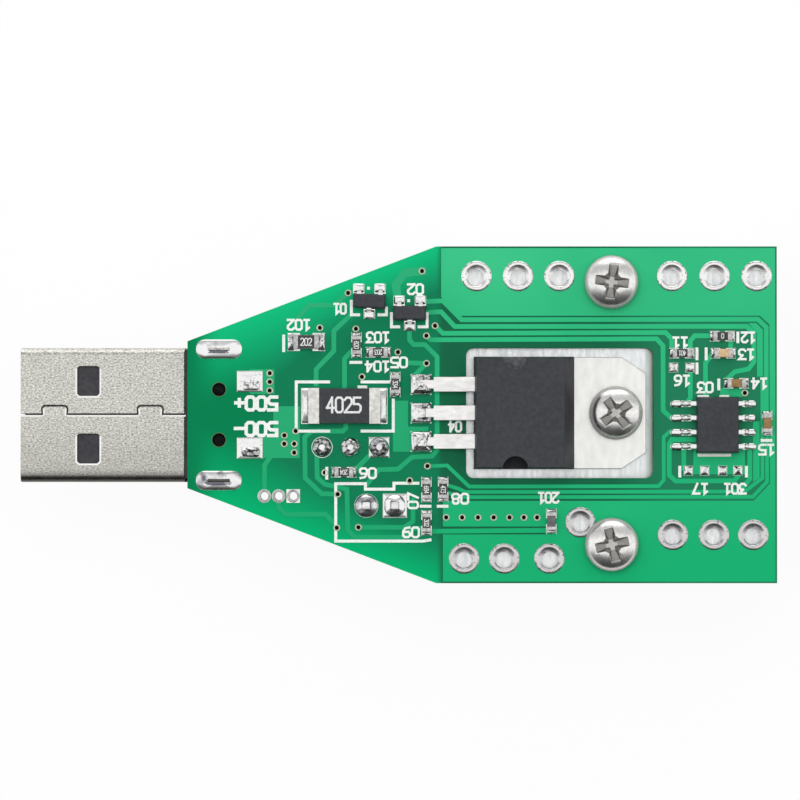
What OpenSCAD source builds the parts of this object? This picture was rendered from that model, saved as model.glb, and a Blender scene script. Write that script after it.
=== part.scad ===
// Electronic load on a stick: a circuit board with a type A plug, a power transistor screwed to a
// finned heat sink through a cut-out in the board, its control circuit and a multi-turn trimmer.
// Origin: middle of the bounding box, on the plane of the fin tips. +X runs from the plug to the
// heat sink, +Z points to the component side of the board. Millimetres.

/* [Board] */
// Thickness of the circuit board
board_t = 1.6; // [1.2:0.1:2.0]
// Width of the square end of the board
board_w = 30; // [29:0.5:36]
// Width of the narrow end of the board
neck_w = 13.1; // [12.9:0.1:16]
// Length of the tapered part of the board
taper_l = 22.15; // [21.5:0.05:27]
// Full-width strip of board ahead of the heat sink
shoulder_l = 0.35; // [0:0.05:3]
// Thickness of a tinned pad
pad_t = 0.05; // [0.03:0.01:0.1]
// Inner diameter of a large plated hole
edge_hole_d = 1.66; // [1.2:0.02:2.0]
// Pad diameter of a large plated hole
edge_pad_d = 2.72; // [2.4:0.02:3.0]
// Distance of the upper row of plated holes from the board edge
edge_hole_top = 2.65; // [2:0.05:4]
// Distance of the lower left plated holes from the board edge
edge_hole_low = 2.2; // [1.8:0.05:3]
// Distance of the lower right plated holes from the board edge
edge_hole_right = 4.3; // [3.5:0.05:5]

/* [Heat sink] */
// Length of the heat sink along the fins
sink_l = 30; // [29.5:0.5:36]
// Overall height of the heat sink
sink_h = 15; // [13.5:0.5:25]
// Thickness of the heat sink base
sink_base_t = 4.5; // [4.4:0.1:6]
// Number of fins
fin_n = 9; // [5:1:11]
// Fin thickness at the tip
fin_tip_t = 1.0; // [0.6:0.1:1.4]
// Fin thickness at the root
fin_root_t = 1.4; // [1.0:0.1:1.8]

/* [Screws] */
// Thread diameter of the three screws
screw_d = 2.5; // [2.0:0.1:2.8]
// Length of the screws under the head
screw_l = 5; // [4:0.5:5]
// Diameter of the pan head
head_d = 4.8; // [4.4:0.1:5.2]
// Height of the pan head
head_h = 2.0; // [1.6:0.1:2.4]
// Height of the upright rim of the pan head
head_rim_h = 0.7; // [0.3:0.1:1.0]
// Span of the cross recess
recess_l = 3.1; // [2.4:0.1:3.4]
// Width of one arm of the cross recess
recess_w = 0.85; // [0.5:0.05:1.0]
// Depth of the cross recess
recess_depth = 1.3; // [0.8:0.1:1.5]
// Distance of the upper board screw from the board edge
board_screw_top = 3.2; // [3:0.05:4]
// Distance of the lower board screw from the board edge
board_screw_low = 3.45; // [3.2:0.05:4]
// Distance of the board screws from the front of the heat sink
screw_from_front = 15.25; // [15:0.05:17]

/* [Plug] */
// Width of the plug shell
plug_w = 12; // [11.8:0.05:12.1]
// Height of the plug shell
plug_h = 4.5; // [4.4:0.05:4.6]
// Sheet thickness of the shell
shell_t = 0.3; // [0.25:0.05:0.4]
// Corner radius of the shell
shell_r = 0.7; // [0.5:0.05:1.0]
// Reach of the plug in front of the board
plug_reach = 15; // [14:0.25:19]
// Length of plug under the board
plug_under = 4.55; // [4.4:0.05:5]
// Gap between the upper shell wall and the board edge
plug_gap = 0.32; // [0.1:0.01:0.6]
// Distance of the latch windows from the mouth
window_from_mouth = 6.06; // [5.6:0.02:6.8]
// Window length
window_l = 2.0; // [1.8:0.05:2.2]
// Window width
window_w = 2.62; // [2.3:0.02:2.8]
// Corner radius of a window
window_r = 0.3; // [0.1:0.05:0.5]
// Offset of a window from the middle
window_y = 3.02; // [2.6:0.02:3.4]
// Width of the seam in the shell
seam_gap = 0.1; // [0.06:0.01:0.2]
// Height of a dovetail in the seam
dovetail_h = 0.76; // [0.5:0.02:1.0]
// Width of a dovetail at its root
dovetail_root = 2.1; // [1.4:0.05:2.2]
// Width of a dovetail at its end
dovetail_end = 2.2; // [2.2:0.05:2.8]
// Corner radius of a dovetail
dovetail_r = 0.25; // [0.1:0.05:0.35]
// Distance of the front dovetail from the mouth
dovetail_front = 3.05; // [2.4:0.05:3.4]
// Distance of the rear dovetail from the mouth
dovetail_rear = 11.6; // [10:0.05:12.2]
// Thickness of the insulator tongue
tongue_t = 1.84; // [1.6:0.02:1.9]
// Setback of the tongue from the mouth
tongue_setback = 0.4; // [0.2:0.05:0.8]
// Length of the free tongue
tongue_l = 8.9; // [8.6:0.1:10]
// Width of a plug contact
contact_w = 1.0; // [0.8:0.05:1.2]
// Thickness of a plug contact
contact_t = 0.25; // [0.2:0.05:0.3]
// Distance of the board tabs and pegs from the board edge
tab_from_edge = 2.8; // [2.4:0.05:3.2]
// Width of a board tab
tab_w = 2.0; // [1.6:0.1:2.2]
// Height of a board tab above the board
tab_proud = 0.35; // [0.2:0.05:0.6]
// Diameter of a locating peg
peg_d = 1.0; // [0.7:0.05:1.1]
// Offset of a peg from the middle
peg_y = 2.25; // [1.8:0.05:2.8]

/* [Power transistor] */
// Distance of the transistor body from the front of the heat sink
body_from_front = 3.02; // [2.9:0.02:3.4]
// Length of the moulded body
body_l = 8.93; // [8.6:0.05:9.3]
// Width of the moulded body
body_w = 10; // [9.8:0.05:10.3]
// Height of the moulded body over the heat sink
body_h = 4.5; // [4.0:0.1:4.8]
// Offset of the transistor from the middle
body_y = 0.15; // [-0.3:0.05:0.3]
// Thickness of the tab
tab_t = 1.3; // [1.2:0.05:1.4]
// Length of the bare tab
tab_bare_l = 6.4; // [6.1:0.1:6.8]
// Diameter of the hole in the tab
tab_hole_d = 3.6; // [3.3:0.1:3.8]
// Distance of the transistor screw from the end of the tab
tab_screw_end = 2.7; // [2.5:0.05:3.0]
// Margin between the transistor and the cut-out, lengthwise
cut_margin_x = 0.7; // [0.4:0.05:1.0]
// Margin between the transistor and the cut-out, sideways
cut_margin_y = 0.8; // [0.4:0.02:1.2]
// Corner radius of the cut-out
cut_r = 0.7; // [0.4:0.05:1.2]
// Pitch of the three leads
lead_pitch = 2.54; // [2.4:0.02:2.6]
// Width of a lead at the body
lead_w = 1.34; // [1.0:0.02:1.4]
// Width of a lead at its tip
lead_tip_w = 0.8; // [0.6:0.02:0.9]
// Thickness of a lead
lead_t = 0.5; // [0.4:0.05:0.6]
// Height of the lead over the heat sink where it leaves the body
lead_exit = 2.35; // [2.3:0.05:2.7]
// Side of a transistor pad
lead_pad = 1.84; // [1.5:0.02:2.1]

/* [Shunt resistor] */
// Length of the shunt
shunt_l = 6.4; // [6.0:0.1:6.6]
// Width of the shunt
shunt_w = 3.19; // [2.9:0.01:3.3]
// Height of the shunt
shunt_h = 0.75; // [0.5:0.05:1.0]
// Length of a shunt terminal
shunt_cap = 0.97; // [0.6:0.01:1.2]

/* [Amplifier] */
// Length of the amplifier body, along the lead rows
amp_l = 5.0; // [4.7:0.1:5.2]
// Width of the amplifier body
amp_w = 3.8; // [3.6:0.1:4.0]
// Height of the amplifier body
amp_h = 1.45; // [1.2:0.05:1.7]
// Pitch of the amplifier leads
amp_pitch = 1.27; // [1.2:0.01:1.3]
// Span over the amplifier leads
amp_span = 6.0; // [5.8:0.1:6.4]

/* [Three-lead packages] */
// Length of the body
sot_l = 2.9; // [2.7:0.05:3.1]
// Width of the body
sot_w = 1.3; // [1.2:0.05:1.4]
// Height of the body
sot_h = 1.0; // [0.8:0.05:1.1]
// Span over the leads
sot_span = 2.4; // [2.3:0.05:2.6]

/* [Chip parts] */
// Length of a small chip part
chip_l = 1.65; // [1.5:0.05:1.8]
// Width of a small chip part
chip_w = 0.82; // [0.7:0.02:0.9]
// Height of a small chip resistor
chip_h = 0.5; // [0.4:0.05:0.6]
// Length of an end cap
chip_cap = 0.36; // [0.2:0.02:0.45]
// Thickness of an end cap
cap_t = 0.04; // [0.03:0.01:0.06]
// Length of the larger chip resistor
large_l = 2.25; // [2.0:0.05:2.4]
// Width of the larger chip resistor
large_w = 1.3; // [1.2:0.05:1.4]

/* [Trimmer] */
// Length of the trimmer
trim_l = 9.53; // [9.4:0.01:9.8]
// Width of the trimmer
trim_w = 4.83; // [4.8:0.01:5.0]
// Height of the trimmer
trim_h = 10.03; // [10:0.01:10.5]
// Wall of the trimmer housing
trim_wall = 0.5; // [0.4:0.02:0.52]
// Thickness of the housing where the screw leaves it
trim_nose = 1.6; // [1.4:0.05:1.65]
// Diameter of the adjusting screw
trim_screw_d = 2.2; // [2.0:0.02:2.24]
// Height of the screw head over the housing
trim_screw_proud = 1.2; // [0.6:0.1:1.5]
// Radial clearance of the screw and of the rotor
trim_clear = 0.03; // [0.02:0.01:0.05]
// Teeth on the rotor, one passes for each turn of the screw
rotor_teeth = 30; // [28:1:31]
// Module of the rotor teeth
rotor_module = 0.2; // [0.19:0.005:0.205]
// Thickness of the rotor
rotor_t = 0.9; // [0.7:0.05:1.0]
// Pitch of the trimmer pins
trim_pitch = 2.54; // [2.5:0.01:2.6]
// Diameter of a trimmer pin
trim_pin_d = 0.5; // [0.4:0.05:0.6]

/* [Wire header] */
// Length of the header
header_l = 7.4; // [7.2:0.1:7.8]
// Width of the header
header_w = 5.75; // [5.6:0.05:5.9]
// Height of the header
header_h = 7.0; // [6.5:0.1:8]
// Wall of the header
header_wall = 0.8; // [0.6:0.05:0.9]
// Floor of the header
header_floor = 1.8; // [1.5:0.1:2.2]
// Pitch of the header pins
header_pitch = 2.54; // [2.5:0.01:2.6]
// Side of a header pin
header_pin = 0.64; // [0.5:0.02:0.7]
// Width of the keyway
keyway_w = 2.5; // [2:0.1:3]
// Height of the pins over the board
pin_proud = 1.0; // [0.6:0.1:1.4]

/* [Hidden] */
$fn = 48;
eps = 0.02;

// Lengthwise stations, all tied to the same chain of lengths
board_l = taper_l + shoulder_l + sink_l;
overall_l = plug_reach + board_l;
mouth_x = -overall_l / 2;
board_x0 = mouth_x + plug_reach;
sink_x0 = board_x0 + taper_l + shoulder_l;
board_x1 = sink_x0 + sink_l;
sink_cx = (sink_x0 + board_x1) / 2;

// Heights: fin tips at zero, board on the heat sink, pads on the board
board_z = sink_h;
top_z = board_z + board_t;
pad_z = top_z + pad_t;

// Screw places
fit_gap = 0.02;
thread_gap = 0.03;
screw_x = sink_x0 + screw_from_front;
screw_y = [board_w / 2 - board_screw_top, -board_w / 2 + board_screw_low];
board_screws_xy = [[screw_x, screw_y[0]], [screw_x, screw_y[1]]];
screw_clear = 0.2;
board_clear_d = screw_d + 2 * screw_clear;
tap_spare = 0.4;
tap_depth = screw_l - min(board_t, tab_t) + tap_spare;
dome_h = head_h - head_rim_h;
dome_r = (pow(head_d / 2, 2) + pow(dome_h, 2)) / (2 * dome_h);
recess_taper = 0.55;
// Turn of each cross recess, as the screws were left
recess_turn_upper = -7;
recess_turn_lower = 13;
recess_turn_transistor = 36;

// Plated holes, given from the front of the heat sink and from the board edge
top_hole_dx = [3.24, 6.95, 10.63, 20.65, 24.45, 28.2];
low_hole_dx = [2.13, 5.71, 9.73];
right_hole_dx = [20.71, 24.37, 27.88];
single_hole_dx = 12.48;
single_hole_edge = 5.42;
plating_t = 0.1;
top_holes = [for (d = top_hole_dx) [sink_x0 + d, board_w / 2 - edge_hole_top]];
low_holes = [for (d = low_hole_dx) [sink_x0 + d, -board_w / 2 + edge_hole_low]];
right_holes = [for (d = right_hole_dx) [sink_x0 + d, -board_w / 2 + edge_hole_right]];
single_hole = [[sink_x0 + single_hole_dx, -board_w / 2 + single_hole_edge]];
edge_holes = concat(top_holes, low_holes, right_holes, single_hole);

// Plug stations
shell_top_x = board_x0 - plug_gap;
plug_rear_x = board_x0 + plug_under;
plug_tab_x = board_x0 + tab_from_edge;
plug_tab_y = plug_w / 2 - shell_t / 2;
slot_margin = 0.3;
slot_w = shell_t + 2 * slot_margin;
slot_l = tab_w + 2 * slot_margin;
peg_hole_gap = 0.09;
peg_hole_d = peg_d + 2 * peg_hole_gap;
peg_depth = 0.35;
plug_pad_end = 1.05;
plug_pad_side = 0.715;
plug_pad_l = tab_w + 2 * plug_pad_end;
plug_pad_w = shell_t + 2 * plug_pad_side;
// round ends of an oval, as a share of its width
oval_share = 0.48;
tab_solder_end = 0.15;
tab_solder_side = 0.1;
corner_cut = 0.3;
inner_w = plug_w - 2 * shell_t;
inner_h = plug_h - 2 * shell_t;
tongue_x = mouth_x + tongue_setback;
block_x = tongue_x + tongue_l;
tongue_z = board_z - shell_t - tongue_t;
contact_y = [3.5, 1.0, -1.0, -3.5];
contact_front = [1.0, 2.0, 2.0, 1.0];
contact_tail = 1.6;
// the contacts rise behind the end of the upper wall
contact_rise_x = shell_top_x + contact_t;
contact_rise_l = 2.4;

// Transistor stations
q_x0 = sink_x0 + body_from_front;
q_x1 = q_x0 + body_l;
tab_inset = 0.5;
tab_side = 0.025;
tab_x0 = q_x0 + tab_inset;
tab_x1 = q_x1 + tab_bare_l;
tab_screw_x = tab_x1 - tab_screw_end;
tab_plate_w = body_w - 2 * tab_side;
tab_corner_x = 2.15;
tab_corner_y = 1.43;
notch_r = 1.15;
notch_from_front = 3.63;
notch_x = q_x0 + notch_from_front;
notch_floor = 2.0;
body_slope = 0.95;
body_draft = 0.18;
body_lift = 0.2;
body_step = 0.3;
cut_x0 = q_x0 - cut_margin_x;
cut_x1 = tab_x1 + cut_margin_x;
cut_w = body_w + 2 * cut_margin_y;
q_lead_in = 0.6;
lead_bend_out = [0.55, 1.95];
lead_step_out = 3.6;
lead_pad_out = 4.72;
lead_over = 0.1;
lead_bend_1 = q_x0 - lead_bend_out[0];
lead_bend_2 = q_x0 - lead_bend_out[1];
lead_step_x = q_x0 - lead_step_out;
q_pad_x = q_x0 - lead_pad_out;
lead_end_x = q_pad_x - lead_over;
lead_y = [body_y + lead_pitch, body_y, body_y - lead_pitch];
solder_h = 0.42;
solder_draft = 0.28;
solder_inset = 0.05;

// Small parts, placed from the front of the heat sink and the middle line: dx, y, turn
small_dx = [
    [-7.45, 6.2, 90], [-5.5, 5.56, 0], [-4.0, 2.7, 90], [-8.57, -5.12, 0], [-1.22, -6.67, 90],
    [-1.21, -9.62, 90], [0.27, -6.64, 90], [21.54, 5.48, 0], [25.14, 7.0, 0]
];
cap_dx = [[25.22, 5.48, 0], [26.38, 2.8, 0], [29.12, -0.77, 90]];
thermistor_dx = [9.9, -9.48, 90];
large_dx = [-11.92, 6.48, 0];
cap_h = [0.8, 0.75, 0.75];
thermistor_h = 0.65;
large_h = 0.55;
large_cap = 0.4;
shunt_pad_l = 1.65;
shunt_pad_in = 0.18;
shunt_x = sink_x0 - 8.53;
shunt_y = 0.78;
amp_x = sink_x0 + 24.65;
amp_y = -0.93;
reference_x = sink_x0 - 6.3;
reference_y = 10.1;
reference_turn = -2.8;
switch_x = sink_x0 - 2.7;
switch_y = 9.04;

// Leads and pads of the flat packages
foot_t = 0.2;
amp_foot = 0.55;
amp_lead_w = 0.42;
amp_stand = 0.12;
amp_pad_in = 2.15;
amp_pad_long = 4.15;
amp_pad_short = 3.48;
amp_pad_w = 0.56;
sot_foot = 0.35;
sot_lead_w = 0.42;
sot_stand = 0.06;
sot_row = 0.95;
sot_pad_y = 1.12;
sot_pad_l = 1.0;
sot_pad_w = 0.88;
pkg_draft = 0.12;
// bends of a gull-wing lead: ahead of the foot, slant of its lower and upper line
gull_bend = 0.12;
gull_slant = 0.1;
gull_top = 0.16;
lead_in = 0.3;
chip_pad_out = 0.3;
chip_pad_in = 0.2;
chip_pad_side = 0.05;
chip_pad_w = chip_w + 2 * chip_pad_side;
large_pad_out = 0.55;
large_pad_side = 0.15;
large_pad_w = large_w + 2 * large_pad_side;

// Trimmer stations: it hangs under the board, screw pointing away from the board
trim_x = sink_x0 - 7.97;
trim_y = -2.9;
nose_z = board_z - trim_h;
trim_in_l = trim_l / 2 - trim_wall;
trim_in_w = trim_w / 2 - trim_wall;
trim_base_t = 1.2;
trim_base_set = 0.4;
trim_base_z0 = board_z - trim_base_set - trim_base_t;
worm_r = 0.62;
worm_throw = 0.16;
rotor_r = rotor_teeth * rotor_module / 2;
tooth_out = 0.12;
tooth_in = 0.22;
rotor_tip_r = rotor_r + tooth_out;
rotor_root_r = rotor_r - tooth_in;
worm_pitch = 2 * PI * rotor_r / rotor_teeth;
worm_gap = 0.1;
worm_centre = rotor_tip_r + worm_r - worm_throw + worm_gap;
trim_screw_dx = 3.3;
trim_screw_dy = 0.8;
trim_screw_x = trim_x + trim_screw_dx;
trim_screw_y = trim_y + trim_screw_dy;
rotor_x = trim_screw_x - worm_centre;
rotor_gap = 0.25;
worm_gap_nose = 0.3;
worm_gap_base = 0.2;
rotor_z = nose_z + trim_nose + rotor_tip_r + rotor_gap;
worm_z0 = nose_z + trim_nose + worm_gap_nose;
worm_z1 = trim_base_z0 - worm_gap_base;
worm_turns = (worm_z1 - worm_z0) / worm_pitch;
worm_steps = 10;
worm_sides = 14;
journal_r = 0.42;
journal_l = 0.6;
journal_hole = 0.8;
screw_slot_w = 0.5;
screw_slot_depth = 0.6;
groove_r = 0.75;
groove_z = nose_z + trim_nose / 2;
groove_h = 0.5;
seal_r = 0.15;
seal_centre = (groove_r + trim_screw_d / 2 + trim_clear) / 2;
hub_pin_r = 0.7;
hub_r = 1.3;
rotor_y = trim_screw_y;
element_t = 0.7;
element_margin = 0.03;
tooth_root_half = 0.15;
tooth_tip_half = 0.04;
wiper_t = 0.15;
wiper_w = 0.9;
wiper_ring_r = 1.6;
// corners of the wiper's arm, from the hub, the ring and the track
wiper_hub = 0.3;
wiper_bend = [0.1, 0.2];
wiper_track = [0.3, 0.5];
trim_pin_depth = 0.9;
pin_hole_gap = 0.2;
trim_pad_d = [1.88, 1.8, 1.84];
trim_pin_x = [trim_x - trim_pitch, trim_x, trim_x + trim_pitch];

// Header stations: it hangs under the board, mouth pointing away from the board
header_x = sink_x0 - 5.3;
header_pin_y = -8.1;
header_pin_edge = 3.4;
header_y0 = header_pin_y - header_pin_edge;
header_y1 = header_y0 + header_w;
header_pin_x = [header_x - header_pitch / 2, header_x + header_pitch / 2];
header_pin_set = 0.8;
header_pin_z = board_z - header_h + header_pin_set;
header_pad_d = 2.14;
keyway_sill = 1.0;
keyway_h = header_h - header_floor - keyway_sill;
// steps of a solder cone: shares of its foot and of the pin's height
cone_r = 0.86;
cone_z = [0.28, 0.55, 0.85];
cone_top = 0.15;

// Spare row of small holes and the two wire pads near the plug
spare_x = [board_x0 + 6.85, board_x0 + 8.12, board_x0 + 9.42];
spare_y = -7.24;
spare_hole_d = 0.7;
spare_pad_d = 1.2;
wire_pad_x = board_x0 + 5.55;
wire_pad_y = 2.97;
wire_pad_l = 2.3;
wire_pad_w = 1.86;

// Empty pads beside the amplifier: dx, y
empty_dx = [[20.8, 4.2], [22.25, 4.2], [22.1, -4.98], [23.55, -4.98], [25.15, -4.98], [26.5, -4.98]];
empty_pad_l = 0.82;
empty_pad_w = 0.86;

// Colours
mask_green = [0.08, 0.55, 0.35];
tin = [0.85, 0.86, 0.87];
nickel = [0.72, 0.71, 0.69];
black = [0.13, 0.13, 0.14];
gold = [0.85, 0.68, 0.32];
bare_metal = [0.78, 0.79, 0.8];
screw_metal = [0.8, 0.8, 0.78];
resistor_black = [0.1, 0.1, 0.1];
cap_tan = [0.72, 0.58, 0.42];
cap_brown = [0.52, 0.38, 0.22];
grey_ceramic = [0.35, 0.35, 0.36];
trimmer_blue = [0.1, 0.3, 0.7];
epoxy = [0.2, 0.22, 0.25];
white_ceramic = [0.92, 0.91, 0.88];
rubber = [0.15, 0.12, 0.1];
nylon = [0.93, 0.92, 0.88];

resistor_names = [for (i = [1:len(small_dx)]) str("chip_resistor_", i)];
capacitor_names = [for (i = [1:len(cap_dx)]) str("chip_capacitor_", i)];
contact_names = [for (i = [1:len(contact_y)]) str("plug_contact_", i)];
lead_names = [for (i = [1:len(lead_y)]) str("transistor_lead_", i)];

// Corner points of a rounded rectangle about the origin
function arc_points(cx, cy, r, a0, n) = [
    for (i = [0:n]) [cx + r * cos(a0 + 90 * i / n), cy + r * sin(a0 + 90 * i / n)]
];
function rounded_points(l, w, r, n = 6) = concat(
    arc_points(l / 2 - r, w / 2 - r, r, 0, n),
    arc_points(-l / 2 + r, w / 2 - r, r, 90, n),
    arc_points(-l / 2 + r, -w / 2 + r, r, 180, n),
    arc_points(l / 2 - r, -w / 2 + r, r, 270, n)
);
// A lower line of points and the same line raised, closed to one outline
function strip_points(line, t) = concat(line, [for (i = [len(line) - 1:-1:0]) [line[i][0], line[i][1] + t]]);

// Box from its two corners
module box(x0, x1, y0, y1, z0, z1) {
    translate([x0, y0, z0])
        cube([x1 - x0, y1 - y0, z1 - z0]);
}

// Outline drawn in Y and Z, swept along X
module along_x(x0, x1) {
    translate([x0, 0, 0])
        rotate([90, 0, 90])
            linear_extrude(x1 - x0)
                children();
}

// Outline drawn in X and Z, swept along Y
module along_y(y0, y1) {
    translate([0, y1, 0])
        rotate([90, 0, 0])
            linear_extrude(y1 - y0)
                children();
}

// Round hole or post
module post(x, y, z0, z1, d) {
    translate([x, y, z0])
        cylinder(h = z1 - z0, d = d);
}

// Flat rectangular pad on the board
module flat_pad(x, y, l, w) {
    box(x - l / 2, x + l / 2, y - w / 2, y + w / 2, top_z, pad_z);
}

// Flat oval pad on the board
module oval_pad(x, y, l, w) {
    translate([x, y, top_z])
        linear_extrude(pad_t)
            polygon(rounded_points(l, w, w * oval_share));
}

// Flat pad with a round hole
module ring_pad(x, y, d, hole) {
    difference() {
        post(x, y, top_z, pad_z, d);
        post(x, y, top_z - 1, pad_z + 1, hole);
    }
}

// Flat square pad with a round hole
module square_pad(x, y, side, hole) {
    difference() {
        flat_pad(x, y, side, side);
        post(x, y, top_z - 1, pad_z + 1, hole);
    }
}

// Block with all four sides drawn in towards its top, standing on z = 0
module drafted_block(l, w, h, draft) {
    intersection() {
        along_y(-w / 2, w / 2)
            polygon([[-l / 2, 0], [l / 2, 0], [l / 2 - draft, h], [-l / 2 + draft, h]]);
        along_x(-l / 2, l / 2)
            polygon([[-w / 2, 0], [w / 2, 0], [w / 2 - draft, h], [-w / 2 + draft, h]]);
    }
}

// The board: narrow at the plug, tapering out to the square end over the heat sink
module circuit_board() {
    outline = [
        [board_x0, -neck_w / 2], [board_x0 + taper_l, -board_w / 2], [board_x1, -board_w / 2],
        [board_x1, board_w / 2], [board_x0 + taper_l, board_w / 2], [board_x0, neck_w / 2]
    ];
    color(mask_green)
        difference() {
            translate([0, 0, board_z])
                linear_extrude(board_t)
                    polygon(outline);
            translate([(cut_x0 + cut_x1) / 2, body_y, board_z - 1])
                linear_extrude(board_t + 2)
                    polygon(rounded_points(cut_x1 - cut_x0, cut_w, cut_r));
            for (p = edge_holes)
                post(p[0], p[1], board_z - 1, top_z + 1, edge_hole_d + 2 * plating_t + 2 * fit_gap);
            for (p = board_screws_xy)
                post(p[0], p[1], board_z - 1, top_z + 1, board_clear_d);
            for (s = [-1, 1]) {
                box(plug_tab_x - slot_l / 2, plug_tab_x + slot_l / 2, s * plug_tab_y - slot_w / 2,
                    s * plug_tab_y + slot_w / 2, board_z - 1, top_z + 1);
                post(plug_tab_x, s * peg_y, board_z - 1, top_z + 1, peg_hole_d);
            }
            for (x = trim_pin_x)
                post(x, trim_y, board_z - 1, top_z + 1, trim_pin_d + 2 * pin_hole_gap);
            for (x = header_pin_x)
                post(x, header_pin_y, board_z - 1, top_z + 1, header_pin * sqrt(2) + pin_hole_gap);
            for (x = spare_x)
                post(x, spare_y, board_z - 1, top_z + 1, spare_hole_d);
        }
}

// Plated tubes of the large holes, each with its pad on the component side
module edge_hole_platings() {
    color(tin)
        for (p = edge_holes)
            difference() {
                union() {
                    post(p[0], p[1], board_z, top_z, edge_hole_d + 2 * plating_t);
                    post(p[0], p[1], top_z, pad_z, edge_pad_d);
                }
                post(p[0], p[1], board_z - 1, pad_z + 1, edge_hole_d);
                // the lower board screw covers part of the nearest pad
                for (s = board_screws_xy)
                    post(s[0], s[1], top_z - eps, pad_z + 1, head_d + 2 * fit_gap);
            }
}

// Two pads of one chip part
module chip_pads(x, y, turn, l, w, out) {
    pad_l = chip_cap + out + chip_pad_in;
    translate([x, y, 0])
        rotate([0, 0, turn])
            for (s = [-1, 1])
                flat_pad(s * (l / 2 + out - pad_l / 2), 0, pad_l, w);
}

// Three pads of one three-lead package, two on the +Y side
module sot_pads(x, y) {
    for (s = [-1, 1])
        flat_pad(x + s * sot_row, y + sot_pad_y, sot_pad_l, sot_pad_w);
    flat_pad(x, y - sot_pad_y, sot_pad_l, sot_pad_w);
}

// All other tinned pads on the component side
module tinned_pads() {
    color(tin) {
        for (s = [-1, 1]) {
            flat_pad(wire_pad_x, s * wire_pad_y, wire_pad_l, wire_pad_w);
            difference() {
                oval_pad(plug_tab_x, s * plug_tab_y, plug_pad_l, plug_pad_w);
                box(plug_tab_x - slot_l / 2, plug_tab_x + slot_l / 2, s * plug_tab_y - slot_w / 2,
                    s * plug_tab_y + slot_w / 2, top_z - 1, pad_z + 1);
            }
            flat_pad(shunt_x + s * (shunt_l / 2 - shunt_pad_in), shunt_y, shunt_pad_l, shunt_w);
        }
        for (y = lead_y)
            flat_pad(q_pad_x, y, lead_pad, lead_pad);
        for (p = small_dx)
            chip_pads(sink_x0 + p[0], p[1], p[2], chip_l, chip_pad_w, chip_pad_out);
        for (p = cap_dx)
            chip_pads(sink_x0 + p[0], p[1], p[2], chip_l, chip_pad_w, chip_pad_out);
        chip_pads(sink_x0 + thermistor_dx[0], thermistor_dx[1], thermistor_dx[2], chip_l, chip_pad_w, chip_pad_out);
        chip_pads(sink_x0 + large_dx[0], large_dx[1], large_dx[2], large_l, large_pad_w, large_pad_out);
        for (p = empty_dx)
            flat_pad(sink_x0 + p[0], p[1], empty_pad_l, empty_pad_w);
        for (i = [0:3]) {
            row = amp_y + (1.5 - i) * amp_pitch;
            box(amp_x - amp_pad_long, amp_x - amp_pad_in, row - amp_pad_w / 2, row + amp_pad_w / 2, top_z, pad_z);
            box(amp_x + amp_pad_in, amp_x + amp_pad_short, row - amp_pad_w / 2, row + amp_pad_w / 2, top_z, pad_z);
        }
        sot_pads(reference_x, reference_y);
        sot_pads(switch_x, switch_y);
        for (i = [0:1])
            ring_pad(trim_pin_x[i], trim_y, trim_pad_d[i], trim_pin_d + 2 * pin_hole_gap);
        square_pad(trim_pin_x[2], trim_y, trim_pad_d[2], trim_pin_d + 2 * pin_hole_gap);
        ring_pad(header_pin_x[0], header_pin_y, header_pad_d, header_pin * sqrt(2) + pin_hole_gap);
        square_pad(header_pin_x[1], header_pin_y, header_pad_d, header_pin * sqrt(2) + pin_hole_gap);
        for (i = [0:1])
            ring_pad(spare_x[i], spare_y, spare_pad_d, spare_hole_d);
        square_pad(spare_x[2], spare_y, spare_pad_d, spare_hole_d);
    }
}

// Outline of the seam slit in the upper wall, in X and Y: a straight slit with two dovetails
module seam_outline() {
    difference() {
        union() {
            translate([mouth_x - 1, 0])
                square([plug_reach + 2, seam_gap]);
            for (d = [dovetail_front, dovetail_rear])
                translate([mouth_x + d, 0])
                    dovetail(seam_gap);
        }
        for (d = [dovetail_front, dovetail_rear])
            translate([mouth_x + d, 0])
                dovetail(0);
    }
}

// One dovetail, grown on all sides by a margin
module dovetail(margin) {
    half_root = dovetail_root / 2 + margin;
    half_end = dovetail_end / 2 + margin;
    r = dovetail_r + margin;
    polygon(concat(
        [[-half_root, -eps], [half_root, -eps], [half_root, margin]],
        arc_points(half_end - r, dovetail_h + margin - r, r, 0, 4),
        arc_points(-half_end + r, dovetail_h + margin - r, r, 90, 4),
        [[-half_root, margin]]
    ));
}

// Folded sheet shell: the seam runs along the upper wall, the side walls end in tabs for the board
module plug_shell() {
    color(nickel)
        difference() {
            union() {
                difference() {
                    along_x(mouth_x, plug_rear_x)
                        translate([0, board_z - plug_h / 2])
                            polygon(rounded_points(plug_w, plug_h, shell_r));
                    along_x(mouth_x - 1, plug_rear_x + 1)
                        translate([0, board_z - plug_h / 2])
                            polygon(rounded_points(inner_w, inner_h, shell_r - shell_t));
                    // no upper wall under the board
                    box(shell_top_x, plug_rear_x + 1, -plug_w, plug_w, board_z - shell_r, board_z + 1);
                }
                for (s = [-1, 1])
                    box(plug_tab_x - tab_w / 2, plug_tab_x + tab_w / 2, s * plug_tab_y - shell_t / 2,
                        s * plug_tab_y + shell_t / 2, board_z - plug_h / 2, top_z + tab_proud);
            }
            for (s = [-1, 1])
                translate([mouth_x + window_from_mouth, s * window_y, board_z - plug_h - 1])
                    linear_extrude(plug_h + 2)
                        polygon(rounded_points(window_l, window_w, window_r));
            translate([0, 0, board_z - shell_t - eps])
                linear_extrude(shell_t + 1)
                    seam_outline();
        }
}

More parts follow.
